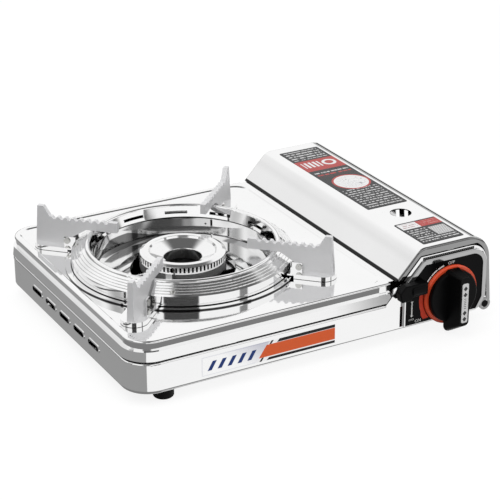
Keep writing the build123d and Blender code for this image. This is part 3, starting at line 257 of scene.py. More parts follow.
# Painted shade: the inside of the cap's wall behind the slots is painted black. The cap is also darker
# inside its hole.
CAP_SLOT_RADII = (33.0, 36.95)
CAP_SLOT_HEIGHTS = (1.8, 8.38)
CAP_HOLE_RADIUS = 15.2
# Painted reflection on the lid's ends, and painted shade at its bend and along its foot.
LID_FACES = (0.2, 261.8)            # front and back ends, in y
LID_BEND = (254.5, 258.0)
LID_FOOT_SHADE = LID_LEFT + 1.3
# Painted reflection: a ribbed dark line on the case's front above the panel.
COMB_FRONT = -1.0
COMB_HEIGHTS = (13.0, 16.9)
COMB_SPAN = (266.0, 318.0)
COMB_PITCH = 1.9
COMB_SLANT = 0.6
# Painted shade on the inside of the case behind the louvres.
LOUVRE_DEPTHS = (0.9, 40.0)         # inside of the case behind the louvres, in x and y
LOUVRE_SPAN = (12.0, 250.0)
# Painted reflections on the panel frame: its grey face, and a dark line beside its left bar.
BEZEL_FACE = -3.25
BEZEL_BRIGHT_CORNER = 238.0         # sum of x and z where the grey face begins
BEZEL_REFLECTION_LINE = (249.2, 250.6)
BEZEL_REFLECTION_LINE_TOP = -16.0


def ring_tone(tree, x, y, z):
    """Trivet ring: painted shade, as dark lines along the foot of its wall and under its edge."""
    radius = distance(tree, x, y, BURNER)
    at_foot = within(tree, z, *RING_FOOT_SHADE_HEIGHTS, soft=0.1)
    foot_shade = times(tree, at_foot, within(tree, radius, *RING_FOOT_SHADE_RADII, soft=0.1))
    hem_shade = times(tree, rise(tree, radius, RING_HEM_SHADE_RADIUS, soft=0.1), fall(tree, z, RING_HEM_SHADE_TOP))
    return times(tree, lean(tree, foot_shade, tone=0.06), lean(tree, hem_shade, tone=0.1))


def shield_tone(tree, x, y, z):
    """Wind shield: painted reflections, darker grey over its back, and over its left side below."""
    turn = bearing(tree, x, y)
    back = by_degrees(tree, turn, SHIELD_BACK_REFLECTION)
    reach = by_degrees(tree, turn, SHIELD_REACH)
    height = calc(tree, "MULTIPLY_ADD", reach, -SHIELD_FOOT_HEIGHT, z)
    foot = times(tree, fall(tree, height, SHIELD_FOOT, soft=0.3), rise(tree, reach, 0.02, soft=0.02))
    return times(tree, back, lean(tree, foot, tone=0.22))


def cap_tone(tree, x, y, z):
    """Burner cap: painted shade, black inside the wall behind its slots, and darker inside its hole."""
    radius = distance(tree, x, y, BURNER)
    at_slots = within(tree, z, *CAP_SLOT_HEIGHTS, soft=0.04)
    shaded_inside = times(tree, within(tree, radius, *CAP_SLOT_RADII, soft=0.03), at_slots)
    hole = fall(tree, radius, CAP_HOLE_RADIUS, soft=0.6)
    return times(tree, lean(tree, shaded_inside, tone=0.004), lean(tree, hole, tone=0.6))


def lid_tone(tree, x, y, z):
    """Lid: a painted reflection that makes its turned-in ends grey, a soft painted shade where the slope
    bends, and painted shade as a dark line at its foot.
    """
    ends = calc(tree, "SUBTRACT", 1.0, within(tree, y, *LID_FACES, soft=0.6))
    bend = within(tree, x, *LID_BEND, soft=3.0)
    foot_shade = fall(tree, x, LID_FOOT_SHADE, soft=0.2)
    tones = lean(tree, ends, tone=0.34), lean(tree, bend, tone=0.92), lean(tree, foot_shade, tone=0.03)
    return times(tree, *tones)


def case_tone(tree, x, y, z):
    """Case: a painted reflection as the ribbed dark line above the panel, and painted shade on the inside
    behind the louvres.
    """
    above = within(tree, z, *COMB_HEIGHTS, soft=0.1)
    slab = times(tree, fall(tree, y, COMB_FRONT), above, within(tree, x, *COMB_SPAN, soft=0.2))
    along = calc(tree, "MULTIPLY_ADD", z, COMB_SLANT, x)
    rib = within(tree, repeat(tree, along, COMB_PITCH), 0.3, 0.6, soft=0.1)
    comb_reflection = lean(tree, times(tree, slab, lean(tree, rib, tone=0.85)), tone=0.02)
    behind = within(tree, x, *LOUVRE_DEPTHS, soft=0.1)
    shaded_inside = times(tree, behind, within(tree, y, *LOUVRE_SPAN, soft=0.2))
    return times(tree, comb_reflection, lean(tree, shaded_inside, tone=0.06))


def bezel_tone(tree, x, y, z):
    """Panel frame: painted reflections, a grey face between bright edges, and a dark line beside its left
    bar.
    """
    face = fall(tree, y, BEZEL_FACE, soft=0.05)
    grey = times(tree, face, rise(tree, calc(tree, "ADD", x, z), BEZEL_BRIGHT_CORNER, soft=3.0))
    line = times(tree, within(tree, x, *BEZEL_REFLECTION_LINE, soft=0.1), fall(tree, z, BEZEL_REFLECTION_LINE_TOP))
    return times(tree, lean(tree, grey, tone=0.5), lean(tree, line, tone=0.02))


# ---------------------------------------------------------------- kinds of finish
def polished_steel(name, tone=0.93, rough=(0.03, 0.075), wave=0.00006, shade=None):
    """Mirror-polished sheet: faint waviness, grain, fine wiping scratches, and any painted shade and
    painted reflections that shade gives.
    """
    material, tree, shader, coords = new_material(name)
    shader.inputs["Metallic"].default_value = 1.0
    cloud = noise(tree, coords, 22.0, 3.0)
    base = ramp(tree, cloud, (0.3, tone - 0.015), (0.7, tone + 0.01))
    if shade:
        base = mix(tree, 1.0, base, shade(tree, *on_stove(tree, coords)), "MULTIPLY")
    tree.links.new(base, shader.inputs["Base Color"])
    wiped = noise(tree, coords, 9.0, 4.0, stretch=(14.0, 260.0, 60.0))
    smudge = noise(tree, coords, 14.0, 5.0)
    grain = calc(tree, "MULTIPLY_ADD", wiped, 0.5, calc(tree, "MULTIPLY", smudge, 0.5))
    tree.links.new(ramp(tree, grain, (0.35, rough[0]), (0.68, rough[1])), shader.inputs["Roughness"])
    swell = bump(tree, noise(tree, coords, 11.0, 1.0), wave)
    fine = bump(tree, wiped, 0.000002, 0.6, under=swell)
    tree.links.new(fine, shader.inputs["Normal"])
    return material


def satin_steel(name, rgb, rough, grain_scale=900.0, grain=0.000012, metallic=1.0, mottle=0.05):
    """Plain sheet or blasted metal with fine grain and slight mottling."""
    material, tree, shader, coords = new_material(name)
    shader.inputs["Metallic"].default_value = metallic
    blotch = noise(tree, coords, 45.0, 4.0)
    dark = opaque([c * (1 - mottle) for c in rgb])
    light = opaque([min(1.0, c * (1 + mottle)) for c in rgb])
    tree.links.new(mix(tree, blotch, dark, light), shader.inputs["Base Color"])
    speck = noise(tree, coords, grain_scale, 3.0)
    spread = ramp(tree, speck, (0.25, rough * 0.85), (0.75, rough * 1.15))
    tree.links.new(spread, shader.inputs["Roughness"])
    tree.links.new(bump(tree, speck, grain), shader.inputs["Normal"])
    return material


def plastic(
    name,
    rgb,
    rough,
    grain=0.00001,
    grain_scale=1400.0,
    vary=0.15,
    coat=0.0,
    art=None,
    gloss=0.5,
    clear=False,
):
    """Moulded plastic or printed film: fine texture, and colour and gloss that vary a little."""
    material, tree, shader, coords = new_material(name)
    shader.inputs["Specular IOR Level"].default_value = gloss
    blotch = noise(tree, coords, 60.0, 3.0)
    dark = opaque([c * (1 - vary) for c in rgb])
    light = opaque([min(1.0, c * (1 + vary)) for c in rgb])
    base = mix(tree, blotch, dark, light)
    if art:
        base = layers(tree, base, *art(tree, *on_stove(tree, coords)))
    tree.links.new(base, shader.inputs["Base Color"])
    if clear:
        bright = add(tree, "ShaderNodeRGBToBW", {0: base}).outputs[0]
        tree.links.new(rise(tree, bright, 0.45, soft=0.05), shader.inputs["Metallic"])
    speck = noise(tree, coords, grain_scale, 2.0)
    spread = ramp(tree, speck, (0.3, rough * 0.85), (0.7, rough * 1.15))
    tree.links.new(spread, shader.inputs["Roughness"])
    tree.links.new(bump(tree, speck, grain), shader.inputs["Normal"])
    shader.inputs["Coat Weight"].default_value = coat
    return material


def printed(name, rgb, rough=0.3, art=None, clear=False):
    """Ink or film: even colour with a trace of wear. Where a clear film is pale, the steel shows."""
    return plastic(name, rgb, rough, 0.000003, 2200.0, 0.06, art=art, gloss=0.2, clear=clear)


# ---------------------------------------------------------------- artwork of the films
# Rows of small print: pitch, share of the pitch that is inked, length of the words, then from and
# to y, and how soft the block's ends are.
LARGE_SPAN = (274.0, 309.5)
LARGE_ROWS = (
    (4.7, 0.36, 1.6, 94.0, 142.0, 0.3),
    (5.4, 0.4, 1.9, 224.0, 246.0, 0.3),
    (5.6, 0.4, 1.8, 185.0, 190.0, 0.2),
)
LARGE_RED_ROW = (6.4, 0.5, 1.8, 177.5, 183.5, 0.2)
LARGE_BAND = (194.4, 221.0)
BAND_BARS_PITCH = 4.4
BAND_BARS_SPAN = (275.0, 293.0)
BAND_BARS_HEIGHT = (203.0, 216.0)
BAND_RING = (302.0, 209.0)
BAND_RING_RADII = (4.2, 7.0)
DISC = (293.7, 156.0)
DISC_RIM_RADIUS = 17.9
DISC_RADIUS = 16.0
DISC_ART_RADIUS = 14.0

SMALL_ROW_SPAN = (273.5, 292.0)
SMALL_ROW = (4.0, 0.4, 1.5, 7.5, 36.5, 0.2)
SMALL_LOW_SPAN = (291.0, 310.0)
SMALL_LOW_ROW = (4.0, 0.4, 1.5, 7.5, 15.5, 0.2)
SMALL_FIELDS = (38.0, 49.8)
SMALL_FIELD_LEFT = 272.7
SMALL_FIELD_BORDER = 291.0
SMALL_MARKS = (3.6, 0.4, 1.4, 39.5, 48.5, 0.2)
SMALL_LEFT_MARKS = (274.5, 289.5)
SMALL_RIGHT_MARKS = (294.0, 310.0)
HATCH_SPAN = (294.3, 310.4)
HATCH_HEIGHT = (17.0, 34.3)
HATCH_PITCH = 1.9

# The decal's edges lean. Each is given by its slope, the height it is measured at and its x there,
# and a band by the x of both its edges.
GREY_FADE = (-1.5, -32.0, 84.0, 120.0)
GREY_END = (0.75, -32.0, 112.0)
PALE_START = (0.75, -32.0, 113.5)
ORANGE_START = (0.7, -36.8, 109.5)
ORANGE_HEIGHTS = (-37.2, -26.7)
TOP_STRIP_START = (0.95, -26.2, 126.2)
TOP_STRIP_FOOT = -26.4
BOTTOM_STRIP_START = (1.1, -40.2, 116.6)
BOTTOM_STRIP_TOP = -38.2
UPPER_BAR = (0.8, -26.6, 118.8, 120.9)
UPPER_BAR_FOOT = -26.6
LOWER_BAR = (0.75, -40.4, 109.7, 111.8)
LOWER_BAR_TOP = -37.3
STROKES = (0.6, -33.0, 64.0, 106.0)
STROKE_PITCH = 9.0
STROKE_SHARE = (0.2, 0.62)
STROKE_HEIGHTS = (-36.6, -28.6)
FIELD_LEFT = 58.4
FIELD_HEIGHTS = (-39.8, -24.6)

LOZENGE_PITCH = 5.6
LOZENGE_HALF_WIDTH = 2.1
LOZENGE_HALF_HEIGHT = 0.42          # share of the pitch
LOZENGE_ROWS = ((-15.8, -5.5), (-38.5, -28.5))
FINE_BARS_PITCH = 1.7
FINE_BARS_ROW = (-27.4, -17.0)
FINE_BARS_HALF_WIDTH = 1.1


def noise_words(tree, along, line):
    """Noise that breaks a line into words."""
    spot = add(tree, "ShaderNodeCombineXYZ", {0: along, 1: line}).outputs[0]
    return noise(tree, spot, 1.0)


def small_print(tree, x, y, row):
    """Block of broken lines, as small print looks from afar."""
    pitch, fill, word_length, low, high, soft = row
    line_share = within(tree, repeat(tree, y, pitch), 0.5 - fill / 2, 0.5 + fill / 2, soft=0.08)
    line = calc(tree, "FLOOR", calc(tree, "DIVIDE", y, pitch))
    shifted = calc(tree, "MULTIPLY", line, 7.3)     # other words on each line
    words = noise_words(tree, calc(tree, "DIVIDE", x, word_length), shifted)
    return times(tree, line_share, rise(tree, words, 0.46, soft=0.04), within(tree, y, low, high, soft))


def large_label_art(tree, x, y, z):
    """Broken lines, a red band with bars and a ring, and a white disc with a red rim."""
    sides = within(tree, x, *LARGE_SPAN, soft=0.3)
    rows = most(tree, *[small_print(tree, x, y, row) for row in LARGE_ROWS])
    disc = distance(tree, x, y, DISC)
    bars = times(
        tree,
        within(tree, repeat(tree, x, BAND_BARS_PITCH), 0.2, 0.75, soft=0.05),
        within(tree, x, *BAND_BARS_SPAN, soft=0.2),
        within(tree, y, *BAND_BARS_HEIGHT, soft=0.3),
    )
    ring = within(tree, distance(tree, x, y, BAND_RING), *BAND_RING_RADII, soft=0.2)
    contour = calc(tree, "FRACT", calc(tree, "MULTIPLY", noise_mm(tree, x, y, 0.09), 9.0))
    contour_line = within(tree, contour, 0.45, 0.55, soft=0.04)
    return (
        (within(tree, y, *LARGE_BAND, soft=0.2), LABEL_RED),
        (most(tree, bars, ring), LABEL_WHITE),
        (times(tree, rows, sides), SMALL_PRINT),
        (times(tree, small_print(tree, x, y, LARGE_RED_ROW), sides), LABEL_RED),
        (fall(tree, disc, DISC_RIM_RADIUS), LABEL_RED),
        (fall(tree, disc, DISC_RADIUS), LABEL_WHITE),
        (times(tree, fall(tree, disc, DISC_ART_RADIUS), contour_line), DISC_LINES),
    )


def small_label_art(tree, x, y, z):
    """White and red fields at the back, broken lines, and a hatched square."""
    back = within(tree, y, *SMALL_FIELDS, soft=0.2)
    lines = times(tree, small_print(tree, x, y, SMALL_ROW), within(tree, x, *SMALL_ROW_SPAN, soft=0.2))
    low = times(tree, small_print(tree, x, y, SMALL_LOW_ROW), within(tree, x, *SMALL_LOW_SPAN, soft=0.2))
    square = times(tree, within(tree, x, *HATCH_SPAN), within(tree, y, *HATCH_HEIGHT))
    weave = within(tree, repeat(tree, calc(tree, "ADD", x, y), HATCH_PITCH), 0.25, 0.75, soft=0.1)
    cross = within(tree, repeat(tree, calc(tree, "SUBTRACT", x, y), HATCH_PITCH), 0.3, 0.7, soft=0.1)
    marks = small_print(tree, x, y, SMALL_MARKS)
    return (
        (times(tree, back, within(tree, x, SMALL_FIELD_LEFT, SMALL_FIELD_BORDER)), LABEL_WHITE),
        (times(tree, back, rise(tree, x, SMALL_FIELD_BORDER)), LABEL_RED),
        (times(tree, marks, within(tree, x, *SMALL_LEFT_MARKS, soft=0.2)), PRINT_ON_WHITE),
        (times(tree, marks, within(tree, x, *SMALL_RIGHT_MARKS, soft=0.2)), PRINT_ON_RED),
        (most(tree, lines, low), SMALL_PRINT),
        (times(tree, square, most(tree, weave, cross)), HATCHING),
    )


def slanted(tree, x, z, slope, level):
    """How far right a point is along a line that leans, measured at one level."""
    return calc(tree, "SUBTRACT", x, calc(tree, "MULTIPLY", calc(tree, "SUBTRACT", z, level), slope))


def right_of(tree, x, z, edge, soft=0.15):
    """Mask of what lies right of a leaning edge."""
    slope, level, start = edge
    return rise(tree, slanted(tree, x, z, slope, level), start, soft)


def between(tree, x, z, band, soft=0.15):
    """Mask of what lies between two leaning edges."""
    slope, level, start, end = band
    return within(tree, slanted(tree, x, z, slope, level), start, end, soft)


def decal_art(tree, x, y, z):
    """Clear field that turns grey, blue strokes, and an orange field between black strips."""
    slope, level, start, end = GREY_FADE
    links = {0: slanted(tree, x, z, slope, level), 1: start, 2: end}
    fade = add(tree, "ShaderNodeMapRange", links).outputs[0]
    orange = times(tree, right_of(tree, x, z, ORANGE_START), within(tree, z, *ORANGE_HEIGHTS, soft=0.1))
    black = most(
        tree,
        times(tree, right_of(tree, x, z, TOP_STRIP_START), rise(tree, z, TOP_STRIP_FOOT, soft=0.1)),
        times(tree, right_of(tree, x, z, BOTTOM_STRIP_START), fall(tree, z, BOTTOM_STRIP_TOP, soft=0.1)),
        times(tree, between(tree, x, z, UPPER_BAR), rise(tree, z, UPPER_BAR_FOOT, soft=0.1)),
        times(tree, between(tree, x, z, LOWER_BAR), fall(tree, z, LOWER_BAR_TOP, soft=0.1)),
    )
    stroke = repeat(tree, slanted(tree, x, z, *STROKES[:2]), STROKE_PITCH)
    blue = times(
        tree,
        within(tree, stroke, *STROKE_SHARE, soft=0.03),
        within(tree, z, *STROKE_HEIGHTS),
        between(tree, x, z, STROKES, soft=0.1),
    )
    core = times(tree, rise(tree, x, FIELD_LEFT, soft=0.1), within(tree, z, *FIELD_HEIGHTS, soft=0.1))
    left = calc(tree, "SUBTRACT", 1.0, right_of(tree, x, z, GREY_END, soft=0.3))
    border = times(tree, left, calc(tree, "SUBTRACT", 1.0, core))
    return (
        (fade, DECAL_GREY),
        (times(tree, border, 0.16), DECAL_BLUE),
        (blue, DECAL_BLUE),
        (right_of(tree, x, z, PALE_START, soft=0.3), LABEL_WHITE),
        (orange, DECAL_ORANGE),
        (black, BLACK),
    )


def insert_art(tree, x, y, z):
    """Row of dark lozenges and fine bars on the grip's bright insert."""
    across = calc(tree, "ABSOLUTE", calc(tree, "SUBTRACT", x, KNOB[0]))
    along = calc(tree, "ABSOLUTE", calc(tree, "SUBTRACT", repeat(tree, z, LOZENGE_PITCH), 0.5))
    wide = calc(tree, "DIVIDE", across, LOZENGE_HALF_WIDTH)
    high = calc(tree, "DIVIDE", along, LOZENGE_HALF_HEIGHT)
    lozenge = fall(tree, calc(tree, "ADD", wide, high), 1.0, soft=0.06)
    ends = most(tree, *[within(tree, z, *row, soft=0.2) for row in LOZENGE_ROWS])
    fine = within(tree, repeat(tree, z, FINE_BARS_PITCH), 0.3, 0.75, soft=0.08)
    middle = fall(tree, across, FINE_BARS_HALF_WIDTH)
    bars = times(tree, within(tree, z, *FINE_BARS_ROW, soft=0.1), fine, middle)
    return ((times(tree, lozenge, ends), BLACK), (bars, INSERT_BARS))


# ---------------------------------------------------------------- the stove's finishes
FINISHES = {
    "polished_steel": polished_steel("polished_steel"),
    "pressed_steel": polished_steel("pressed_steel", 0.88, rough=(0.06, 0.12), wave=0.00004),
    "galvanised_steel": satin_steel("galvanised_steel", (0.55, 0.57, 0.59), 0.38, mottle=0.16),
    "blade_steel": satin_steel(
        "blade_steel", (0.86, 0.86, 0.87), 0.5, grain_scale=1500.0, grain=0.00003, metallic=0.6
    ),
    "burner_metal": polished_steel("burner_metal", 0.88, rough=(0.1, 0.2), wave=0.00003),
    "cast_alloy": satin_steel(
        "cast_alloy", (0.56, 0.57, 0.58), 0.5, grain_scale=800.0, grain=0.00006, mottle=0.1
    ),
    "strip_metal": satin_steel("strip_metal", (0.75, 0.75, 0.75), 0.3),
    "brass": satin_steel("brass", (0.6, 0.43, 0.18), 0.22, mottle=0.1),
    "bright_trim": polished_steel("bright_trim", 0.92, rough=(0.05, 0.12), wave=0.00002),
    "black_plastic": plastic("black_plastic", PLASTIC_BLACK, 0.36, gloss=0.1),
    "panel_black": plastic("panel_black", PLASTIC_BLACK, 0.3, grain=0.000004, gloss=0.08),
    "orange_plastic": plastic("orange_plastic", (0.8, 0.085, 0.028), 0.3, vary=0.05),
    "rubber": plastic(
        "rubber", (0.006, 0.006, 0.006), 0.6, grain=0.00004, grain_scale=900.0, vary=0.2, gloss=0.15
    ),
    "label_film": printed("label_film", LABEL_GREY, 0.28),
    "decal_film": printed("decal_film", DECAL_CLEAR, 0.12, decal_art, clear=True),
    "ceramic": plastic("ceramic", (0.82, 0.8, 0.74), 0.12, grain=0.000004, vary=0.04, coat=0.4),
    "lead_sleeve": plastic("lead_sleeve", (0.5, 0.03, 0.02), 0.45),
    "fastener_steel": satin_steel("fastener_steel", (0.62, 0.62, 0.6), 0.3),
}
NODE_FINISHES = {
    "trivet_ring": polished_steel("ring_steel", shade=ring_tone),
    "wind_shield": polished_steel("shield_steel", shade=shield_tone),
    "burner_cap": polished_steel("cap_steel", 0.9, rough=(0.06, 0.14), wave=0.00003, shade=cap_tone),
    "burner_bowl": satin_steel("bowl_steel", (0.3, 0.3, 0.3), 0.62, mottle=0.08),
    # The gas pipe is given nearly black metal.
    "gas_pipe": satin_steel("dark_pipe_metal", (0.045, 0.04, 0.032), 0.5, mottle=0.1),
    "lid_shell": polished_steel("lid_steel", shade=lid_tone),
    "lower_case": polished_steel("case_steel", shade=case_tone),
    "panel_bezel": polished_steel("bezel_chrome", 0.92, rough=(0.05, 0.12), wave=0.00002, shade=bezel_tone),
    "lid_label_large": printed("large_label", LABEL_GREY, 0.28, large_label_art),
    "lid_label_small": printed("small_label", LABEL_GREY, 0.28, small_label_art),
    "knob_insert": plastic("insert_plate", LABEL_WHITE, 0.25, grain=0.000004, vary=0.04, art=insert_art),
}
PALE_PRINT = printed("ink_white", INK)
ORANGE_PRINT = printed("ink_orange", INK_ORANGE)
GOLD_PRINT = printed("ink_gold", INK_GOLD)


def dress_nodes():
    """Every CAD node gets its own finish, or the one that the record names for it."""
    for part in frame["record"]["subparts"]:
        name = part["node"]
        finish = NODE_FINISHES.get(name, FINISHES[part["material_slot"]])
        if name.startswith("tongue"):
            finish = FINISHES["polished_steel"]
        for slot in frame["nodes"][name].material_slots:
            slot.material = finish


# ---------------------------------------------------------------- printed marks and small pieces
# Words on the panel: name, text, x of the middle, height of the foot line, size.
WORDS = (
    ("mark_off", "OFF", 294.6, 5.5, 3.9),
    ("mark_on", "ON", 262.4, -40.9, 3.9),
    ("mark_lock", "LOCK", 255.7, -38.1, 2.1),
)
ARC_RADII = (27.4, 28.6)
ARC_SPANS = ((104, 117), (118.5, 133), (134.5, 148))    # degrees about the knob's axis
ARROW_X = 256.0
ARROW_TOP = -20.6
ARROW_FOOT = -33.6
ARROW_BAR = 0.8                     # height of the bar at its top
ARROW_TIP = 1.7
# Painted highlight: a white strip at the panel's left edge stands for the bright rim of the frame.
HIGHLIGHT_STRIP_SIDES = (248.4, 249.5)        # white strip at the panel's left edge
HIGHLIGHT_STRIP_HEIGHTS = (-42.1, -20.4)

STUD_BEARINGS = (238, 328, 58, 148)
STUD_RADIUS = 2.4
STUD_HEIGHT = 1.3
STUD_REACH = 91.0                   # from the burner's axis
STUD_LEVEL = 11.5
STUD_OUTWARD = 0.5                  # lean of the shoulder that it stands on
STUD_UPWARD = 0.86

LEVER_FACE = -11.0                  # in y
LEDGE_MIDDLE = -7.2
LEDGE_HALF = 3.6
LEDGE_PROUD = 1.3
LEDGE_STEPS = 8
# Sections along the ledge: x, and the share of its full size.
LEDGE_SECTIONS = ((250.6, 0.6), (251.0, 0.9), (251.8, 1.0), (263.4, 1.0), (264.2, 0.9), (264.6, 0.6))


def link_piece(name, data, material, body):
    """Object from a mesh or curve, riding on a body."""
    piece = bpy.data.objects.new(name, data)
    data.materials.append(material)
    bpy.context.scene.collection.objects.link(piece)
    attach(piece, body)
    return piece


def mesh_piece(name, shape, material, body):
    """Piece from a finished shape, its faces turned outwards."""
    bmesh.ops.recalc_face_normals(shape, faces=shape.faces)
    mesh = bpy.data.meshes.new(name)
    shape.to_mesh(mesh)
    shape.free()
    return link_piece(name, mesh, material, body)


def arc_points(radius, start, end, steps=14):
    """Points of an arc about the knob's axis, in x and z."""
    points = []
    for n in range(steps + 1):
        turn = math.radians(start + (end - start) * n / steps)
        points.append((KNOB[0] + radius * math.cos(turn), KNOB[1] + radius * math.sin(turn)))
    return points


def arc_band(inner, outer, start, end):
    """Outline of a band about the knob's axis."""
    return arc_points(outer, start, end) + arc_points(inner, end, start)


def on_panel(name, outlines, material):
    """Print on the control panel, from outlines in x and z."""
    shape = bmesh.new()
    for outline in outlines:
        face = shape.faces.new([shape.verts.new(place(x, PANEL_FACE - PRINT, z)) for x, z in outline])
        made = bmesh.ops.extrude_face_region(shape, geom=[face])["geom"]
        moved = [v for v in made if isinstance(v, bmesh.types.BMVert)]
        bmesh.ops.translate(shape, verts=moved, vec=(0, PRINT * MM, 0))
    mesh_piece(name, shape, material, "case")


def word(name, text, x, z, size):
    """Short word printed on the control panel, from the middle of its foot line."""
    data = bpy.data.curves.new(name, "FONT")
    data.body = text
    data.size = size * MM
    data.align_x = "CENTER"
    data.extrude = PRINT * MM
    piece = link_piece(name, data, PALE_PRINT, "case")
    piece.location = place(x, PANEL_FACE, z)
    piece.rotation_euler = (math.pi / 2, 0, 0)


def make_panel_marks():
    """Words, arrow, arc and sector on the control panel, and a painted highlight strip along its left edge.
    """
    for row in WORDS:
        word(*row)
    on_panel("mark_arc", [arc_band(*ARC_RADII, *ends) for ends in ARC_SPANS], PALE_PRINT)
    on_panel("mark_arc_tip", [arc_points(29.0, 149.5, 153) + arc_points(27.6, 162, 149.5)], GOLD_PRINT)
    sector = arc_points(31.0, 172, 199) + arc_points(32.0, 206, 214) + arc_points(27.0, 220, 166)
    on_panel("mark_sector", [sector], ORANGE_PRINT)
    x, top, foot = ARROW_X, ARROW_TOP, ARROW_FOOT
    neck = top - ARROW_BAR
    arrow = [
        [(x - 1.2, top), (x - 1.2, neck), (x + 1.2, neck), (x + 1.2, top)],
        [(x - 0.6, neck), (x - 0.6, foot), (x + 0.6, foot), (x + 0.6, neck)],
        [(x - 1.5, foot), (x, foot - ARROW_TIP), (x + 1.5, foot)],
    ]
    on_panel("mark_arrow", arrow, PALE_PRINT)
    # Painted highlight: white strip for the bright rim at the panel's left edge.
    (left, right), (low, high) = HIGHLIGHT_STRIP_SIDES, HIGHLIGHT_STRIP_HEIGHTS
    on_panel("painted_edge_highlight", [[(left, low), (right, low), (right, high), (left, high)]], PALE_PRINT)


def dome(shape, centre, axis, radius, height, steps=20, rings=5):
    """Low round head on a surface."""
    turn = axis.to_track_quat("Z", "Y").to_matrix()
    tip = shape.verts.new(centre + turn @ Vector((0, 0, height)))
    above = None
    for ring in range(1, rings + 1):
        share = ring / rings * math.pi / 2
        row = []
        for n in range(steps):
            a = math.tau * n / steps
            local = Vector((math.cos(a) * math.sin(share), math.sin(a) * math.sin(share), 0)) * radius
            local.z = height * math.cos(share)
            row.append(shape.verts.new(centre + turn @ local))
        for n in range(steps):
            m = (n + 1) % steps
            corners = [tip, row[n], row[m]] if above is None else [above[n], row[n], row[m], above[m]]
            shape.faces.new(corners)
        above = row
    shape.faces.new(above[::-1])


def make_ring_studs():
    """Stud on the trivet ring's shoulder beside each tongue."""
    shape = bmesh.new()
    for degrees in STUD_BEARINGS:
        turn = math.radians(degrees)
        out = Vector((math.cos(turn), math.sin(turn), 0))
        centre = place(BURNER[0] + STUD_REACH * out.x, BURNER[1] + STUD_REACH * out.y, STUD_LEVEL)
        axis = (out * STUD_OUTWARD + Vector((0, 0, STUD_UPWARD))).normalized()
        dome(shape, centre, axis, STUD_RADIUS * MM, STUD_HEIGHT * MM)
    for face in shape.faces:
        face.smooth = True
    mesh_piece("ring_studs", shape, FINISHES["fastener_steel"], "trivet")


def make_lever_ledge():
    """Rounded ledge across the lock lever, for the finger."""
    outline = []
    for n in range(LEDGE_STEPS + 1):
        turn = math.pi * n / LEDGE_STEPS
        outline.append((LEDGE_HALF * math.cos(turn), LEDGE_PROUD * math.sin(turn)))
    shape = bmesh.new()
    rows = []
    for x, share in LEDGE_SECTIONS:
        row = []
        for up, proud in outline:
            row.append(shape.verts.new(place(x, LEVER_FACE - proud * share, LEDGE_MIDDLE + up * share)))
        rows.append(row)
    for left, right in zip(rows, rows[1:]):
        for n in range(LEDGE_STEPS):
            shape.faces.new([left[n], left[n + 1], right[n + 1], right[n]])
        shape.faces.new([left[-1], left[0], right[0], right[-1]])
    shape.faces.new(rows[0])
    shape.faces.new(rows[-1][::-1])
    mesh_piece("lever_ledge", shape, FINISHES["black_plastic"], "lever")


# ---------------------------------------------------------------- studio
# Panes of the studio that polished metal mirrors, laid over each other in this order: from and to
# azimuth, from and to elevation, all in degrees, then tone and softness of the edges.
PANES = (
    (-200, 200, -95, -33.5, 0.21, 1.0),     # floor under the stove
    (-45, 62, -64, -34, 0.95, 1.5),         # lit part of the floor
    (-121, 94, -32, -2.5, 0.96, 0.7),       # low wall on the camera's side
    (-60, -40, -16, -4.5, 0.35, 1.2),       # grey post in front of it
    (-200, 200, 8, 95, 1.0, 1.0),           # white tent
    (-200, 112, 64, 95, 0.2, 5.0),          # opening in its roof
    (-118, 24, 49, 95, 0.12, 5.0),
    (14, 104, 54, 95, 0.13, 14.0),
    (-200, 112, 85, 95, 0.07, 1.5),
    (-138, -99, 34, 60, 0.2, 6.0),          # camera and stand
    (-137, -101, 22.5, 34, 0.06, 0.8),
    (-131, -68, 6, 15.5, 0.1, 1.0),
    (96, 150, 8, 36, 0.88, 6.0),            # tent's side behind the stove
    (-46, 22, 36, 50, 0.4, 5.0),            # soft screen
    (-57, -47.5, 20, 32, 0.25, 0.8),        # upright on the right
    (42, 58, 8, 14, 0.4, 2.0),              # low blocks at the back
    (101, 123, 8, 17, 0.35, 2.0),
    (162, 181, 8, 40, 0.45, 8.0),           # screen and upright on the left
    (-181, -177, 8, 36, 0.05, 0.6),
    (-200, 200, -1.5, 6.5, 0.04, 0.7),      # edge of the tent
)
STUDIO_GREY = 0.32
STEEPEST = 89.0              # degrees, for the softness of an edge near the zenith
SHARPEST = 0.002             # least softness of an edge, in the height of a direction
EVEN_LIGHT = 0.78
FLOOR_HALF = 3.0
FLOOR_TONES = (0.2, 0.204)
FLOOR_GLOW = 0.84


def level(elevation):
    """Height of a direction, from its elevation in degrees."""
    return math.sin(math.radians(max(-90.0, min(90.0, elevation))))


def studio(tree, direction):
    """Grey of the studio in a direction."""
    x, y, z = add(tree, "ShaderNodeSeparateXYZ", {0: direction}).outputs
    azimuth = calc(tree, "MULTIPLY", calc(tree, "ARCTAN2", y, x), 180 / math.pi)
    colour = opaque((STUDIO_GREY, STUDIO_GREY, STUDIO_GREY))
    for left, right, low, high, tone, soft in PANES:
        middle = math.radians(max(-STEEPEST, min(STEEPEST, (low + high) / 2)))
        rim = max(math.radians(soft) * math.cos(middle), SHARPEST)
        mask = rise(tree, z, level(low) if low > -90 else -1.5, rim)
        if high < 90:
            mask = times(tree, mask, fall(tree, z, level(high), rim))
        if right - left < 360:
            mask = times(tree, mask, within(tree, azimuth, left, right, soft))
        colour = mix(tree, mask, colour, opaque((tone, tone, tone)))
    return colour


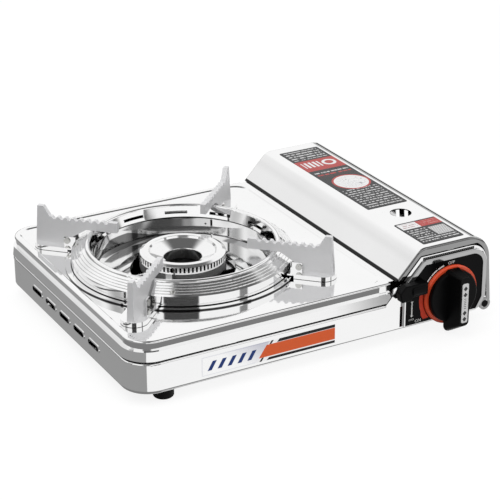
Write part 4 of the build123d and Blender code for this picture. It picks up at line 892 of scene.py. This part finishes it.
def make_studio():
    """White room for the camera, a studio of panes for polished metal, and even light."""
    world = bpy.data.worlds.new("studio")
    bpy.context.scene.world = world
    world.use_nodes = True
    tree = world.node_tree
    tree.nodes.clear()
    mirrored = studio(tree, add(tree, "ShaderNodeTexCoord").outputs["Generated"])
    rays = add(tree, "ShaderNodeLightPath").outputs
    for_metal = add(tree, "ShaderNodeBackground", {"Color": mirrored, "Strength": 1.0}).outputs[0]
    even = {"Color": opaque(WHITE), "Strength": EVEN_LIGHT}
    for_rest = add(tree, "ShaderNodeBackground", even).outputs[0]
    for_camera = add(tree, "ShaderNodeBackground", {"Color": opaque(WHITE), "Strength": 1.0}).outputs[0]
    seen = most(tree, rays["Is Glossy Ray"], rays["Is Transmission Ray"])
    lit = add(tree, "ShaderNodeMixShader", {0: seen, 1: for_rest, 2: for_metal}).outputs[0]
    whole = add(tree, "ShaderNodeMixShader", {0: rays["Is Camera Ray"], 1: lit, 2: for_camera}).outputs[0]
    add(tree, "ShaderNodeOutputWorld", {"Surface": whole})


def make_floor():
    """Pale floor that keeps the stove's shadow and is left out of the polished metal."""
    mesh = bpy.data.meshes.new("floor")
    shape = bmesh.new()
    bmesh.ops.create_grid(shape, x_segments=2, y_segments=2, size=FLOOR_HALF)
    shape.to_mesh(mesh)
    shape.free()
    floor = bpy.data.objects.new("floor", mesh)
    bpy.context.scene.collection.objects.link(floor)
    floor.visible_glossy = False
    material, tree, shader, coords = new_material("floor_paper")
    cloth = noise(tree, coords, 6.0)
    paper = ramp(tree, cloth, (0.3, FLOOR_TONES[0]), (0.7, FLOOR_TONES[1]))
    tree.links.new(paper, shader.inputs["Base Color"])
    shader.inputs["Roughness"].default_value = 0.9
    shader.inputs["Specular IOR Level"].default_value = 0.0
    glow = add(tree, "ShaderNodeEmission", {"Color": opaque(WHITE), "Strength": FLOOR_GLOW}).outputs[0]
    both = add(tree, "ShaderNodeAddShader", {0: shader.outputs[0], 1: glow}).outputs[0]
    rays = add(tree, "ShaderNodeLightPath").outputs
    seen = add(tree, "ShaderNodeMixShader", {0: rays["Is Camera Ray"], 1: shader.outputs[0], 2: both})
    tree.links.new(seen.outputs[0], tree.nodes["Material Output"].inputs["Surface"])
    mesh.materials.append(material)


def make_light(name, where, size, watts):
    """Soft area light aimed at the stove's middle."""
    data = bpy.data.lights.new(name, "AREA")
    data.size = size
    data.energy = watts
    lamp = bpy.data.objects.new(name, data)
    lamp.location = where
    lamp.rotation_euler = (LAMP_AIM - Vector(where)).to_track_quat("-Z", "Y").to_euler()
    lamp.visible_glossy = False
    lamp.visible_camera = False
    bpy.context.scene.collection.objects.link(lamp)


def make_camera():
    """Camera at the photograph's place, solved from the case's straight edges."""
    data = bpy.data.cameras.new("camera")
    data.lens = CAMERA_LENS
    data.sensor_width = CAMERA_SENSOR
    data.clip_start = 0.05
    data.clip_end = 50.0
    camera = bpy.data.objects.new("camera", data)
    aim = (CAMERA_AIM - CAMERA_PLACE).to_track_quat("-Z", "Y").to_matrix().to_4x4()
    roll = Matrix.Rotation(math.radians(CAMERA_ROLL), 4, "Z")
    camera.matrix_world = Matrix.Translation(CAMERA_PLACE) @ aim @ roll
    bpy.context.scene.collection.objects.link(camera)
    bpy.context.scene.camera = camera


# ---------------------------------------------------------------- all of it
dress_nodes()
make_panel_marks()
make_ring_studs()
make_lever_ledge()
make_studio()
make_floor()
make_light("key", (-0.9, -0.7, 1.6), size=1.2, watts=9.0)
make_light("fill", (1.2, -1.0, 1.0), size=1.4, watts=3.0)
make_camera()
bpy.context.scene.view_settings.view_transform = "Standard"
